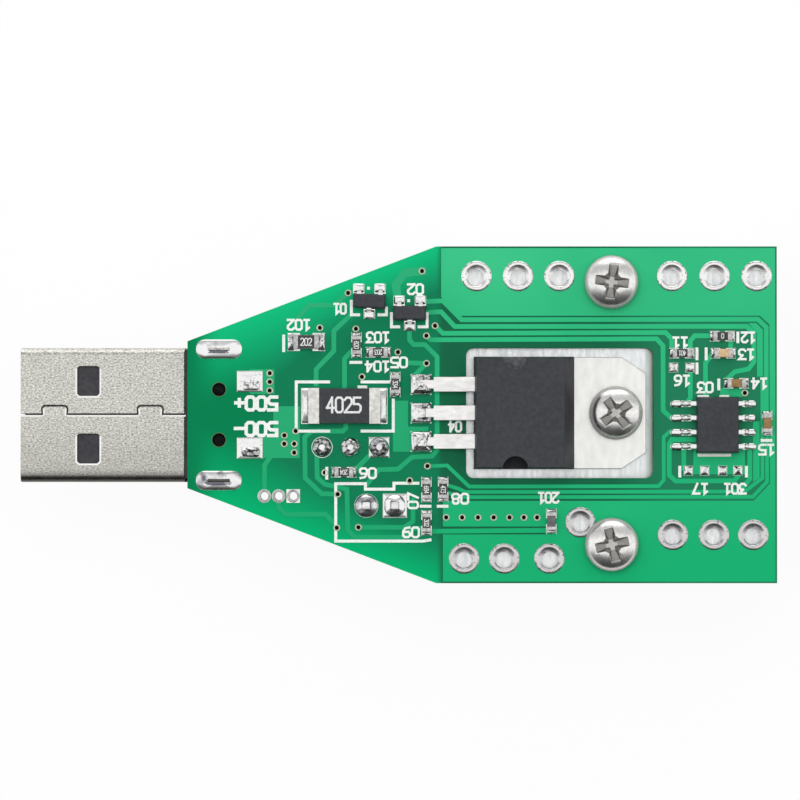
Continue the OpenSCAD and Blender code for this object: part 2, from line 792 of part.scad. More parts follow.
// One contact: flat on the tongue, then rising through the block to the underside of the board
module contact_strip(i) {
    line = [
        [tongue_x + contact_front[i], tongue_z], [contact_rise_x, tongue_z],
        [contact_rise_x + contact_rise_l, board_z - contact_t], [plug_rear_x + contact_tail, board_z - contact_t]
    ];
    along_y(contact_y[i] - contact_w / 2, contact_y[i] + contact_w / 2)
        polygon(strip_points(line, contact_t));
}

// Moulded insulator: tongue in the mouth, block at the rear, two pegs for the board
module plug_insulator() {
    half_w = inner_w / 2 - fit_gap;
    color(black)
        difference() {
            union() {
                box(tongue_x, block_x + 1, -half_w, half_w, tongue_z, board_z - shell_t);
                box(block_x, plug_rear_x, -half_w, half_w, board_z - plug_h + shell_t + shell_r, board_z - shell_t);
                box(block_x, plug_rear_x, -half_w + shell_r, half_w - shell_r,
                    board_z - plug_h + shell_t, board_z - shell_t);
                box(shell_top_x + fit_gap, plug_rear_x, -half_w, half_w, board_z - plug_h / 2, board_z);
                for (s = [-1, 1])
                    post(plug_tab_x, s * peg_y, board_z - 1, top_z - peg_depth, peg_d);
            }
            // upper edges follow the rounded corners of the shell
            for (s = [-1, 1])
                box(tongue_x - 1, shell_top_x, s * (inner_w / 2) - corner_cut, s * (inner_w / 2) + corner_cut,
                    board_z - shell_r, board_z + 1);
            for (i = [0:len(contact_y) - 1])
                contact_strip(i);
        }
}

module plug_contact(i) {
    color(gold)
        contact_strip(i);
}

// Solder around the two shell tabs
module plug_tab_solder() {
    foot_l = plug_pad_l - 2 * tab_solder_end;
    foot_w = plug_pad_w - 2 * tab_solder_side;
    color(tin)
        for (s = [-1, 1])
            difference() {
                translate([plug_tab_x, s * plug_tab_y, pad_z])
                    intersection() {
                        drafted_block(foot_l, foot_w, tab_proud, solder_draft);
                        linear_extrude(tab_proud)
                            polygon(rounded_points(foot_l, foot_w, foot_w * oval_share));
                    }
                box(plug_tab_x - tab_w / 2, plug_tab_x + tab_w / 2, s * plug_tab_y - shell_t / 2,
                    s * plug_tab_y + shell_t / 2, top_z - 1, top_z + 2);
            }
}

// Extruded heat sink: thick base under the board, tapered fins along X
module heat_sink() {
    fin_pitch = (board_w - fin_tip_t) / (fin_n - 1);
    root_z = sink_h - sink_base_t;
    color(bare_metal)
        difference() {
            along_x(sink_x0, board_x1)
                union() {
                    translate([-board_w / 2, root_z])
                        square([board_w, sink_base_t]);
                    intersection() {
                        for (i = [0:fin_n - 1])
                            translate([-(board_w - fin_tip_t) / 2 + i * fin_pitch, 0])
                                polygon([
                                    [-fin_tip_t / 2, 0], [fin_tip_t / 2, 0],
                                    [fin_root_t / 2, root_z + eps], [-fin_root_t / 2, root_z + eps]
                                ]);
                        translate([-board_w / 2, 0])
                            square([board_w, sink_h]);
                    }
                }
            for (p = concat(board_screws_xy, [[tab_screw_x, body_y]]))
                post(p[0], p[1], board_z - tap_depth, board_z + 1, screw_d + 2 * thread_gap);
        }
}

// Pan head screw with a cross recess, its head seated on z = 0
module pan_screw(turn) {
    difference() {
        union() {
            intersection() {
                cylinder(h = head_h, d = head_d);
                translate([0, 0, head_h - dome_r])
                    sphere(r = dome_r);
            }
            translate([0, 0, -screw_l])
                cylinder(h = screw_l + eps, d = screw_d);
        }
        for (a = [0, 90])
            rotate([0, 0, turn + a])
                along_y(-recess_w / 2, recess_w / 2)
                    polygon([
                        [-recess_l / 2, head_h + eps], [-recess_l / 2 + recess_taper, head_h - recess_depth],
                        [recess_l / 2 - recess_taper, head_h - recess_depth], [recess_l / 2, head_h + eps]
                    ]);
    }
}

module transistor_screw() {
    color(screw_metal)
        translate([tab_screw_x, body_y, board_z + tab_t])
            pan_screw(recess_turn_transistor);
}

module board_screws() {
    color(screw_metal) {
        translate([screw_x, screw_y[0], top_z])
            pan_screw(recess_turn_upper);
        translate([screw_x, screw_y[1], top_z])
            pan_screw(recess_turn_lower);
    }
}

// Tab of the transistor: bare end with cut corners and the screw hole, front end inside the moulding
module transistor_tab() {
    half = tab_plate_w / 2;
    color(bare_metal)
        difference() {
            translate([0, body_y, board_z])
                linear_extrude(tab_t)
                    polygon([
                        [tab_x0, -half], [tab_x1 - tab_corner_x, -half], [tab_x1, -half + tab_corner_y],
                        [tab_x1, half - tab_corner_y], [tab_x1 - tab_corner_x, half], [tab_x0, half]
                    ]);
            post(tab_screw_x, body_y, board_z - 1, board_z + tab_t + 1, tab_hole_d);
        }
}

// Moulded body: sloped towards the tab, drafted sides, a half-round notch on each side
module transistor_body() {
    half = body_w / 2;
    color(black)
        difference() {
            intersection() {
                along_y(body_y - half, body_y + half)
                    polygon([
                        [q_x0, board_z + body_lift], [q_x1, board_z + body_lift], [q_x1, board_z + tab_t + body_step],
                        [q_x1 - body_slope, board_z + body_h], [q_x0 + body_draft, board_z + body_h],
                        [q_x0, board_z + lead_exit]
                    ]);
                along_x(q_x0, q_x1)
                    polygon([
                        [body_y - half, board_z + body_lift], [body_y + half, board_z + body_lift],
                        [body_y + half, board_z + lead_exit], [body_y + half - body_draft, board_z + body_h],
                        [body_y - half + body_draft, board_z + body_h], [body_y - half, board_z + lead_exit]
                    ]);
            }
            for (s = [-1, 1])
                post(notch_x, body_y + s * half, board_z + notch_floor, board_z + body_h + 1, 2 * notch_r);
            box(tab_x0, q_x1 + 1, body_y - tab_plate_w / 2, body_y + tab_plate_w / 2, board_z - 1, board_z + tab_t);
            for (i = [0:len(lead_y) - 1])
                lead_shape(i);
        }
}

// One lead: wide out of the body, stepped down to the board, narrow at its tip
module lead_shape(i) {
    exit_z = board_z + lead_exit;
    wide_line = [[q_x0 + q_lead_in, exit_z], [lead_bend_1, exit_z], [lead_bend_2, pad_z], [lead_step_x, pad_z]];
    union() {
        along_y(lead_y[i] - lead_w / 2, lead_y[i] + lead_w / 2)
            polygon(strip_points(wide_line, lead_t));
        box(lead_end_x, lead_step_x + eps, lead_y[i] - lead_tip_w / 2, lead_y[i] + lead_tip_w / 2,
            pad_z, pad_z + lead_t);
    }
}

module transistor_lead(i) {
    color(tin)
        lead_shape(i);
}

// Solder that wets the three lead tips
module transistor_solder() {
    color(tin)
        for (i = [0:len(lead_y) - 1])
            difference() {
                translate([q_pad_x, lead_y[i], pad_z])
                    drafted_block(lead_pad - 2 * solder_inset, lead_pad - 2 * solder_inset, solder_h, solder_draft);
                lead_shape(i);
            }
}

// Ceramic block of a chip part, standing on z = 0
module chip_body(l, w, h, t) {
    translate([-l / 2 + t, -w / 2 + t, t])
        cube([l - 2 * t, w - 2 * t, h - 2 * t]);
}

// Two five-sided end caps that wrap the block
module chip_caps(l, w, h, cap, t) {
    difference() {
        for (s = [-1, 1])
            translate([s * (l / 2 - cap / 2) - cap / 2, -w / 2, 0])
                cube([cap, w, h]);
        chip_body(l, w, h, t);
    }
}

// Place a chip part given as dx, y, turn
module place_chip(p) {
    translate([sink_x0 + p[0], p[1], pad_z])
        rotate([0, 0, p[2]])
            children();
}

module shunt_body() {
    color(resistor_black)
        translate([shunt_x, shunt_y, pad_z])
            chip_body(shunt_l, shunt_w, shunt_h, cap_t);
}

module shunt_terminals() {
    color(tin)
        translate([shunt_x, shunt_y, pad_z])
            chip_caps(shunt_l, shunt_w, shunt_h, shunt_cap, cap_t);
}

module large_resistor() {
    color(resistor_black)
        place_chip(large_dx)
            chip_body(large_l, large_w, large_h, cap_t);
}

module chip_resistor(i) {
    color(resistor_black)
        place_chip(small_dx[i])
            chip_body(chip_l, chip_w, chip_h, cap_t);
}

module chip_capacitor(i) {
    color(i == 0 ? cap_tan : cap_brown)
        place_chip(cap_dx[i])
            chip_body(chip_l, chip_w, cap_h[i], cap_t);
}

module thermistor() {
    color(grey_ceramic)
        place_chip(thermistor_dx)
            chip_body(chip_l, chip_w, thermistor_h, cap_t);
}

// End caps of all the chip parts
module chip_end_caps() {
    color(tin) {
        place_chip(large_dx)
            chip_caps(large_l, large_w, large_h, large_cap, cap_t);
        for (p = small_dx)
            place_chip(p)
                chip_caps(chip_l, chip_w, chip_h, chip_cap, cap_t);
        for (i = [0:len(cap_dx) - 1])
            place_chip(cap_dx[i])
                chip_caps(chip_l, chip_w, cap_h[i], chip_cap, cap_t);
        place_chip(thermistor_dx)
            chip_caps(chip_l, chip_w, thermistor_h, chip_cap, cap_t);
    }
}

// Moulded body with a parting line halfway up, standing on z = 0
module moulded_body(l, w, h) {
    intersection() {
        along_y(-w / 2, w / 2)
            polygon([
                [-l / 2 + pkg_draft, 0], [l / 2 - pkg_draft, 0], [l / 2, h / 2], [l / 2 - pkg_draft, h],
                [-l / 2 + pkg_draft, h], [-l / 2, h / 2]
            ]);
        along_x(-l / 2, l / 2)
            polygon([
                [-w / 2 + pkg_draft, 0], [w / 2 - pkg_draft, 0], [w / 2, h / 2], [w / 2 - pkg_draft, h],
                [-w / 2 + pkg_draft, h], [-w / 2, h / 2]
            ]);
    }
}

// Gull-wing lead that leaves a body face at x = 0 towards +X, standing on z = 0
module gull_lead(reach, foot, rise, w) {
    knee = reach - foot - gull_bend;
    along_y(-w / 2, w / 2)
        polygon([
            [-lead_in, rise], [knee - gull_slant, rise], [knee, 0], [reach, 0], [reach, foot_t],
            [knee + gull_top, foot_t], [knee + gull_top - gull_slant, rise + foot_t], [-lead_in, rise + foot_t]
        ]);
}

// Eight leads of the amplifier, in its own place
module amp_lead_set() {
    reach = amp_span / 2 - amp_w / 2;
    rise = amp_stand + amp_h / 2 - foot_t / 2;
    for (i = [0:3], s = [0, 1])
        translate([0, (1.5 - i) * amp_pitch, 0])
            rotate([0, 0, 180 * s])
                translate([amp_w / 2, 0, 0])
                    gull_lead(reach, amp_foot, rise, amp_lead_w);
}

module amplifier_body() {
    color(black)
        translate([amp_x, amp_y, pad_z])
            difference() {
                translate([0, 0, amp_stand])
                    moulded_body(amp_w, amp_l, amp_h);
                amp_lead_set();
            }
}

module amplifier_leads() {
    color(tin)
        translate([amp_x, amp_y, pad_z])
            amp_lead_set();
}

// Three leads of a small package: two towards +Y, one towards -Y
module sot_lead_set() {
    reach = sot_span / 2 - sot_w / 2;
    rise = sot_stand + sot_h / 2 - foot_t / 2;
    for (x = [-sot_row, sot_row])
        translate([x, 0, 0])
            rotate([0, 0, 90])
                translate([sot_w / 2, 0, 0])
                    gull_lead(reach, sot_foot, rise, sot_lead_w);
    rotate([0, 0, -90])
        translate([sot_w / 2, 0, 0])
            gull_lead(reach, sot_foot, rise, sot_lead_w);
}

module sot_body() {
    difference() {
        translate([0, 0, sot_stand])
            moulded_body(sot_l, sot_w, sot_h);
        sot_lead_set();
    }
}

module reference_body() {
    color(black)
        translate([reference_x, reference_y, pad_z])
            rotate([0, 0, reference_turn])
                sot_body();
}

module reference_leads() {
    color(tin)
        translate([reference_x, reference_y, pad_z])
            rotate([0, 0, reference_turn])
                sot_lead_set();
}

module switch_body() {
    color(black)
        translate([switch_x, switch_y, pad_z])
            sot_body();
}

module switch_leads() {
    color(tin)
        translate([switch_x, switch_y, pad_z])
            sot_lead_set();
}

// Trimmer housing: open towards the board, with a bearing for the screw and a pin for the rotor
module trimmer_housing() {
    hub_y0 = rotor_y + rotor_t / 2 + trim_clear;
    color(trimmer_blue)
        union() {
            difference() {
                box(trim_x - trim_l / 2, trim_x + trim_l / 2, trim_y - trim_w / 2, trim_y + trim_w / 2,
                    nose_z, board_z);
                box(trim_x - trim_in_l, trim_x + trim_in_l, trim_y - trim_in_w, trim_y + trim_in_w,
                    nose_z + trim_nose, board_z + 1);
                post(trim_screw_x, trim_screw_y, nose_z - 1, board_z, trim_screw_d + 2 * trim_clear);
            }
            translate([rotor_x, hub_y0, rotor_z])
                rotate([-90, 0, 0])
                    cylinder(h = trim_y + trim_in_w + eps - hub_y0, r = hub_r);
            translate([rotor_x, rotor_y - rotor_t / 2, rotor_z])
                rotate([-90, 0, 0])
                    cylinder(h = trim_y + trim_in_w + eps - (rotor_y - rotor_t / 2), r = hub_pin_r);
        }
}

// Potting block that closes the housing and holds the pins and the end of the screw
module trimmer_base() {
    color(epoxy)
        difference() {
            box(trim_x - trim_in_l, trim_x + trim_in_l, trim_y - trim_in_w, trim_y + trim_in_w,
                trim_base_z0, trim_base_z0 + trim_base_t);
            for (x = trim_pin_x)
                post(x, trim_y, trim_base_z0 + trim_base_t - trim_pin_depth, board_z + 1, trim_pin_d);
            post(trim_screw_x, trim_screw_y, trim_base_z0 - 1, trim_base_z0 + journal_hole,
                2 * (journal_r + trim_clear));
        }
}

// Ceramic plate that carries the resistive track
module trimmer_element() {
    color(white_ceramic)
        box(trim_x - trim_in_l + element_margin, trim_x + trim_in_l - element_margin,
            trim_y - trim_in_w, trim_y - trim_in_w + element_t,
            nose_z + trim_nose, trim_base_z0);
}

module trimmer_pins() {
    color(tin)
        for (x = trim_pin_x)
            post(x, trim_y, trim_base_z0 + trim_base_t - trim_pin_depth, top_z + pin_proud, trim_pin_d);
}

// Rubber ring in the groove of the screw
module trimmer_seal() {
    color(rubber)
        translate([trim_screw_x, trim_screw_y, groove_z])
            rotate_extrude()
                translate([seal_centre, 0])
                    circle(r = seal_r);
}

// Adjusting screw: slotted end outside, sealing groove in the bearing, single-start worm inside
module trimmer_screw() {
    start_turn = -360 * (rotor_z - worm_z0) / worm_pitch;
    color(gold)
        translate([trim_screw_x, trim_screw_y, 0])
            union() {
                difference() {
                    translate([0, 0, nose_z - trim_screw_proud])
                        cylinder(h = trim_screw_proud + trim_nose, d = trim_screw_d);
                    box(-trim_screw_d, trim_screw_d, -screw_slot_w / 2, screw_slot_w / 2,
                        nose_z - trim_screw_proud - 1, nose_z - trim_screw_proud + screw_slot_depth);
                    translate([0, 0, groove_z - groove_h / 2])
                        difference() {
                            cylinder(h = groove_h, d = trim_screw_d + 1);
                            translate([0, 0, -1])
                                cylinder(h = groove_h + 2, r = groove_r);
                        }
                }
                translate([0, 0, worm_z0])
                    rotate([0, 0, start_turn])
                        linear_extrude(worm_z1 - worm_z0, twist = -360 * worm_turns,
                            slices = round(worm_turns * worm_steps), $fn = worm_sides)
                            translate([worm_throw, 0])
                                circle(r = worm_r, $fn = worm_sides);
                // core through the worm, from the bearing to the end journal
                translate([0, 0, nose_z + trim_nose - eps])
                    cylinder(h = trim_base_z0 + journal_l - nose_z - trim_nose + eps, r = journal_r);
            }
}

// Toothed rotor that turns on the housing's pin, driven by the worm
module trimmer_rotor() {
    step = 360 / rotor_teeth;
    root_a = tooth_root_half / rotor_root_r * 180 / PI;
    tip_a = tooth_tip_half / rotor_tip_r * 180 / PI;
    tooth = [[rotor_root_r, -root_a], [rotor_tip_r, -tip_a], [rotor_tip_r, tip_a], [rotor_root_r, root_a]];
    corners = [
        for (i = [0:rotor_teeth - 1], c = tooth)
            [c[0] * cos(i * step + c[1]), c[0] * sin(i * step + c[1])]
    ];
    color(nylon)
        difference() {
            along_y(rotor_y - rotor_t / 2, rotor_y + rotor_t / 2)
                translate([rotor_x, rotor_z])
                    polygon(corners);
            translate([rotor_x, rotor_y - rotor_t, rotor_z])
                rotate([-90, 0, 0])
                    cylinder(h = 2 * rotor_t, r = hub_pin_r + trim_clear);
        }
}

// Sprung wiper on the rotor: a ring with one arm that reaches to the element
module trimmer_wiper() {
    ring_y = rotor_y - rotor_t / 2;
    face_y = trim_y - trim_in_w + element_t;
    color(gold)
        union() {
            translate([rotor_x, ring_y, rotor_z])
                rotate([90, 0, 0])
                    difference() {
                        cylinder(h = wiper_t, r = wiper_ring_r);
                        translate([0, 0, -1])
                            cylinder(h = wiper_t + 2, r = hub_pin_r + trim_clear);
                    }
            translate([rotor_x, 0, 0])
                linear_extrude_arm(ring_y, face_y + fit_gap);
        }
}

// Slanted arm of the wiper, from the ring down to the element face
module linear_extrude_arm(y_ring, y_face) {
    translate([0, 0, rotor_z - wiper_w / 2])
        linear_extrude(wiper_w)
            polygon([
                [-hub_pin_r - wiper_hub, y_ring - wiper_t], [-hub_pin_r - wiper_hub, y_ring],
                [-wiper_ring_r + wiper_bend[0], y_ring], [-rotor_r + wiper_track[0], y_face + wiper_t],
                [-rotor_r + wiper_track[0], y_face], [-rotor_r + wiper_track[1], y_face],
                [-wiper_ring_r + wiper_bend[1], y_ring - wiper_t]
            ]);
}

// Solder cone of one pin, standing on its pad
module solder_cone(x, y, r, pin_r) {
    translate([x, y, pad_z])
        rotate_extrude()
            polygon([
                [0, 0], [r, 0], [r * cone_r, pin_proud * cone_z[0]], [(r + pin_r) / 2, pin_proud * cone_z[1]],
                [pin_r + cone_top, pin_proud * cone_z[2]], [0, pin_proud * cone_z[2]]
            ]);
}

module trimmer_solder() {
    color(tin)
        for (i = [0:2])
            difference() {
                solder_cone(trim_pin_x[i], trim_y, trim_pad_d[i] / 2 - solder_inset, trim_pin_d / 2);
                post(trim_pin_x[i], trim_y, top_z, top_z + 3, trim_pin_d);
            }
}

// Box around one square header pin
module header_pin_box(x) {
    half = header_pin / 2;
    box(x - half, x + half, header_pin_y - half, header_pin_y + half, header_pin_z, top_z + pin_proud);
}

// Shrouded wire header with a keyway, open away from the board
module header_housing() {
    x0 = header_x - header_l / 2;
    x1 = header_x + header_l / 2;
    color(nylon)
        difference() {
            box(x0, x1, header_y0, header_y1, board_z - header_h, board_z);
            box(x0 + header_wall, x1 - header_wall, header_y0 + header_wall, header_y1 - header_wall,
                board_z - header_h - 1, board_z - header_floor);
            box(header_x - keyway_w / 2, header_x + keyway_w / 2, header_y1 - header_wall - eps, header_y1 + 1,
                board_z - header_h - 1, board_z - header_h + keyway_h);
            for (x = header_pin_x)
                header_pin_box(x);
        }
}

module header_pins() {
    color(tin)
        for (x = header_pin_x)
            header_pin_box(x);
}

module header_solder() {
    color(tin)
        for (x = header_pin_x)
            difference() {
                solder_cone(x, header_pin_y, header_pad_d / 2 - solder_inset, header_pin / 2 * sqrt(2));
                header_pin_box(x);
            }
}

circuit_board();
edge_hole_platings();
tinned_pads();
plug_shell();
plug_insulator();
plug_tab_solder();
for (i = [0:len(contact_names) - 1])
    plug_contact(i);
heat_sink();
transistor_screw();
board_screws();
transistor_body();
transistor_tab();
transistor_solder();
for (i = [0:len(lead_names) - 1])
    transistor_lead(i);
shunt_body();
shunt_terminals();
amplifier_body();
amplifier_leads();
reference_body();
reference_leads();
switch_body();
switch_leads();
large_resistor();
thermistor();
chip_end_caps();
for (i = [0:len(resistor_names) - 1])
    chip_resistor(i);
for (i = [0:len(capacitor_names) - 1])
    chip_capacitor(i);
trimmer_housing();
trimmer_base();
trimmer_element();
trimmer_pins();
trimmer_seal();
trimmer_screw();
trimmer_rotor();
trimmer_wiper();
trimmer_solder();
header_housing();
header_pins();
header_solder();
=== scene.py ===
import math

import bmesh
import bpy
from mathutils import Matrix, Vector, noise


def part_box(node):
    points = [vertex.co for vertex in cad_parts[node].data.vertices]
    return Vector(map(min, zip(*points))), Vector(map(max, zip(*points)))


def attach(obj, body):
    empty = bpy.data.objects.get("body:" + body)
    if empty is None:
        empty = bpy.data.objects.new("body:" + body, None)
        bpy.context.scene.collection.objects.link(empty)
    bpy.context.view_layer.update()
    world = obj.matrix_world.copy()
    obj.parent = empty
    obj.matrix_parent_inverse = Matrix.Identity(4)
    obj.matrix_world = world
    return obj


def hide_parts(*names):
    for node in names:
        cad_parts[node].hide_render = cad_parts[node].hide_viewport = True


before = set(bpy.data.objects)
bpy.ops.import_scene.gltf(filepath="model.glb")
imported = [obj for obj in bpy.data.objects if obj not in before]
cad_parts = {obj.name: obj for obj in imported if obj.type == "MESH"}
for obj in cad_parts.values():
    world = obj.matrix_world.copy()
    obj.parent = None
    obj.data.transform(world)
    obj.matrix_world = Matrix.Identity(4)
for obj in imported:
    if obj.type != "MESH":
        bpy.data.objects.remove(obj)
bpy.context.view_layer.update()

# Camera: the photograph looks straight down on the component side, a hair from below the middle line. The
# lens is long, so the small parts show hardly any of their sides.
MM = 0.001
VIEW_TILT = math.radians(0.9)
VIEW_DISTANCE = 400 * MM
VIEW_WIDTH = 71.25 * MM
VIEW_CENTRE = Vector((0.18, 1.31, 16.6)) * MM
SENSOR = 36.0
NEAREST = 0.01
FARTHEST = 20.0
scene = bpy.context.scene
scene.view_settings.view_transform = "Standard"


def placed(name, data):
    """Puts an object with this data into the scene, at the origin."""
    made = bpy.data.objects.new(name, data)
    scene.collection.objects.link(made)
    return made


camera_data = bpy.data.cameras.new("camera")
camera_data.sensor_width = SENSOR
camera_data.lens = SENSOR * VIEW_DISTANCE / VIEW_WIDTH
camera_data.clip_start = NEAREST
camera_data.clip_end = FARTHEST
camera = placed("camera", camera_data)
camera.location = VIEW_CENTRE + VIEW_DISTANCE * Vector((0, -math.sin(VIEW_TILT), math.cos(VIEW_TILT)))
camera.rotation_euler = (VIEW_TILT, 0, 0)
scene.camera = camera

# Stage: a pale table under the fin tips, one large soft box beyond the upper long edge, and a room that is
# bright overhead and to the left and right and dark towards the lower edge, so solder and screw heads get
# dark lower sides.
TABLE_HALF = 3.0
TABLE_CLOUDS = 6.0
TABLE_GLOW = 0.92
SOFT_BOX = Vector((-30, 75, 400)) * MM
SOFT_BOX_SIDE = 300 * MM
SOFT_BOX_POWER = 0.7
ROOM_UP = Vector((0, 1, 0))
ROOM_LEVELS = ((0.05, 0.05), (0.2, 0.13), (0.31, 0.4), (0.38, 0.98), (0.5, 1.05), (0.62, 1.02), (0.69, 0.74),
               (0.77, 0.56), (0.88, 0.6), (0.95, 1.7))


def colour(red, green, blue):
    """Linear colour of a shade given as 0 to 255."""
    parts = [v / 255 for v in (red, green, blue)]
    return tuple(v / 12.92 if v <= 0.04045 else ((v + 0.055) / 1.055) ** 2.4 for v in parts) + (1.0,)


def node(tree, kind, inputs=(), **settings):
    """Adds a node, sets its options and the sockets given as (name or number, value or output) pairs."""
    made = tree.nodes.new(kind)
    for key, value in settings.items():
        setattr(made, key, value)
    for key, value in inputs:
        if isinstance(value, bpy.types.NodeSocket):
            tree.links.new(value, made.inputs[key])
        else:
            made.inputs[key].default_value = value
    return made


def worked_out(tree, operation, *values, **settings):
    """Result of one sum on values or outputs."""
    return node(tree, "ShaderNodeMath", enumerate(values), operation=operation, **settings).outputs[0]


def ranged(tree, value, low, high, first=0.0, last=1.0, **settings):
    """Goes from first to last while a value goes from low to high."""
    ends = [("From Min", low), ("From Max", high), ("To Min", first), ("To Max", last)]
    return node(tree, "ShaderNodeMapRange", [("Value", value)] + ends, **settings).outputs[0]


def mixed(tree, share, first, second):
    """Colour between two shades, each an output or red, green and blue from 0 to 255."""
    ends = [s if isinstance(s, bpy.types.NodeSocket) else colour(*s) for s in (first, second)]
    return node(tree, "ShaderNodeMix", [(0, share), (6, ends[0]), (7, ends[1])], data_type="RGBA").outputs[2]


def seen_ray(tree):
    """1 for the rays that show the background: straight to the eye, mirrored or through glass."""
    path = node(tree, "ShaderNodeLightPath").outputs
    mirrored = worked_out(tree, "MAXIMUM", path["Is Camera Ray"], path["Is Glossy Ray"])
    return worked_out(tree, "MAXIMUM", mirrored, path["Is Transmission Ray"])


table_finish = bpy.data.materials.new("pale_table")
table_finish.use_nodes = True
tree = table_finish.node_tree
tree.nodes.clear()
cloudy = node(tree, "ShaderNodeTexNoise", [("Scale", TABLE_CLOUDS)]).outputs[0]
paper = mixed(tree, cloudy, (240, 240, 240), (246, 246, 246))
matt = node(tree, "ShaderNodeBsdfDiffuse", [("Color", paper)]).outputs[0]
glow = node(tree, "ShaderNodeEmission", [("Strength", 1.0)]).outputs[0]
share = worked_out(tree, "MULTIPLY", seen_ray(tree), TABLE_GLOW)
both = node(tree, "ShaderNodeMixShader", [(0, share), (1, matt), (2, glow)]).outputs[0]
node(tree, "ShaderNodeOutputMaterial", [("Surface", both)])
table_mesh = bpy.data.meshes.new("table")
corners = [(x * TABLE_HALF, y * TABLE_HALF, 0) for x, y in ((-1, -1), (1, -1), (1, 1), (-1, 1))]
table_mesh.from_pydata(corners, [], [(0, 1, 2, 3)])
table_mesh.materials.append(table_finish)
table = placed("table", table_mesh)

lamp_data = bpy.data.lights.new("soft_box", "AREA")
lamp_data.size = SOFT_BOX_SIDE
lamp_data.energy = SOFT_BOX_POWER
lamp = placed("soft_box", lamp_data)
lamp.location = SOFT_BOX
lamp.rotation_euler = (VIEW_CENTRE - SOFT_BOX).to_track_quat("-Z", "Y").to_euler()
lamp.visible_glossy = False

room = bpy.data.worlds.new("room")
scene.world = room
room.use_nodes = True
tree = room.node_tree
tree.nodes.clear()
direction = node(tree, "ShaderNodeTexCoord").outputs["Generated"]
height = node(tree, "ShaderNodeVectorMath", [(0, direction), (1, ROOM_UP)], operation="DOT_PRODUCT")
ramp = node(tree, "ShaderNodeValToRGB", [(0, ranged(tree, height.outputs["Value"], -1.0, 1.0))])
while len(ramp.color_ramp.elements) < len(ROOM_LEVELS):
    ramp.color_ramp.elements.new(0.5)
for stop, (place, value) in zip(ramp.color_ramp.elements, ROOM_LEVELS):
    stop.position = place
    stop.color = (value, value, value, 1.0)
lit = node(tree, "ShaderNodeBackground", [("Color", ramp.outputs[0])]).outputs[0]
plain = node(tree, "ShaderNodeBackground", [("Color", (1, 1, 1, 1))]).outputs[0]
eye = node(tree, "ShaderNodeLightPath").outputs["Is Camera Ray"]
both = node(tree, "ShaderNodeMixShader", [(0, eye), (1, lit), (2, plain)]).outputs[0]
node(tree, "ShaderNodeOutputWorld", [("Surface", both)])

# Heat sink: a sawn length of aluminium extrusion with tapered fins underneath. The board lies on its flat
# back and two screws hold it. The bare back shows through the plated holes and in the board's cut-out.
# In the cut-out it carries painted shade along the lower side, and painted shade with a painted green
# reflection of the board's edge along the right side.
SINK_BACK = 15.0
WINDOW_HALF = 8.5
WELD = 1e-6
FLAT = math.radians(1)
SHARP = math.radians(30)
SMOOTH_UP_TO = 35
GRAIN_DEPTH = 0.02 * MM
GRAIN_DETAIL = 2.0
CLOUD_SIZE = 0.13
grain = bpy.data.node_groups.new("surface_grain", "ShaderNodeTree")
for way, sockets in (("INPUT", (("Size", "Float"), ("Stretch", "Vector"), ("Bump", "Float"))),
                     ("OUTPUT", (("Fine", "Float"), ("Cloudy", "Float"), ("Normal", "Vector")))):
    for label, kind in sockets:
        grain.interface.new_socket(label, in_out=way, socket_type="NodeSocket" + kind)
asked = node(grain, "NodeGroupInput").outputs
place = node(grain, "ShaderNodeTexCoord").outputs["Object"]
scaled = node(grain, "ShaderNodeVectorMath", [(0, place), (1, asked["Stretch"])], operation="MULTIPLY")
drawn = scaled.outputs[0]
fine = node(grain, "ShaderNodeTexNoise", [("Vector", drawn), ("Scale", asked["Size"]),
                                          ("Detail", GRAIN_DETAIL)])
wide_size = worked_out(grain, "MULTIPLY", asked["Size"], CLOUD_SIZE)
wide = node(grain, "ShaderNodeTexNoise", [("Vector", drawn), ("Scale", wide_size)])
dented = node(grain, "ShaderNodeBump", [("Height", fine.outputs[0]), ("Strength", asked["Bump"]),
                                        ("Distance", GRAIN_DEPTH)])
node(grain, "NodeGroupOutput", [("Fine", ranged(grain, fine.outputs[0], 0.3, 0.7)),
                                ("Cloudy", ranged(grain, wide.outputs[0], 0.3, 0.7)),
                                ("Normal", dented.outputs[0])])


def surface(name, dark, light, size, rough, metal=0.0, bump=0.2, stretch=(1, 1, 1), by="Fine", gloss=0.5):
    """Finish that drifts between two shades and two roughnesses with the grain of the material.

    The shades follow the grain that by names, or what by gives as a function of the node tree.
    """
    finish = bpy.data.materials.new(name)
    finish.use_nodes = True
    tree = finish.node_tree
    texture = node(tree, "ShaderNodeGroup", [("Size", size), ("Stretch", stretch), ("Bump", bump)],
                   node_tree=grain).outputs
    share = by(tree) if callable(by) else texture[by]
    shader = tree.nodes["Principled BSDF"].inputs
    tree.links.new(mixed(tree, share, dark, light), shader["Base Color"])
    tree.links.new(ranged(tree, texture["Cloudy"], 0.0, 1.0, *rough), shader["Roughness"])
    tree.links.new(texture["Normal"], shader["Normal"])
    shader["Metallic"].default_value = metal
    shader["Specular IOR Level"].default_value = gloss
    return finish


def blended(finish, mask, shade):
    """Lays a second shade over a finish where a mask is 1."""
    tree = finish.node_tree
    base = tree.nodes["Principled BSDF"].inputs["Base Color"]
    tree.links.new(mixed(tree, mask, base.links[0].from_socket, shade), base)


def place_on(tree, axis):
    """Place on one axis of the part, in metres."""
    place = node(tree, "ShaderNodeTexCoord").outputs["Object"]
    return node(tree, "ShaderNodeSeparateXYZ", [(0, place)]).outputs[axis]


def along(tree, axis, low, high, first=0.0, last=1.0, ease="LINEAR"):
    """Goes from first to last between two places in mm on one axis of the part."""
    return ranged(tree, place_on(tree, axis), low * MM, high * MM, first, last, interpolation_type=ease)


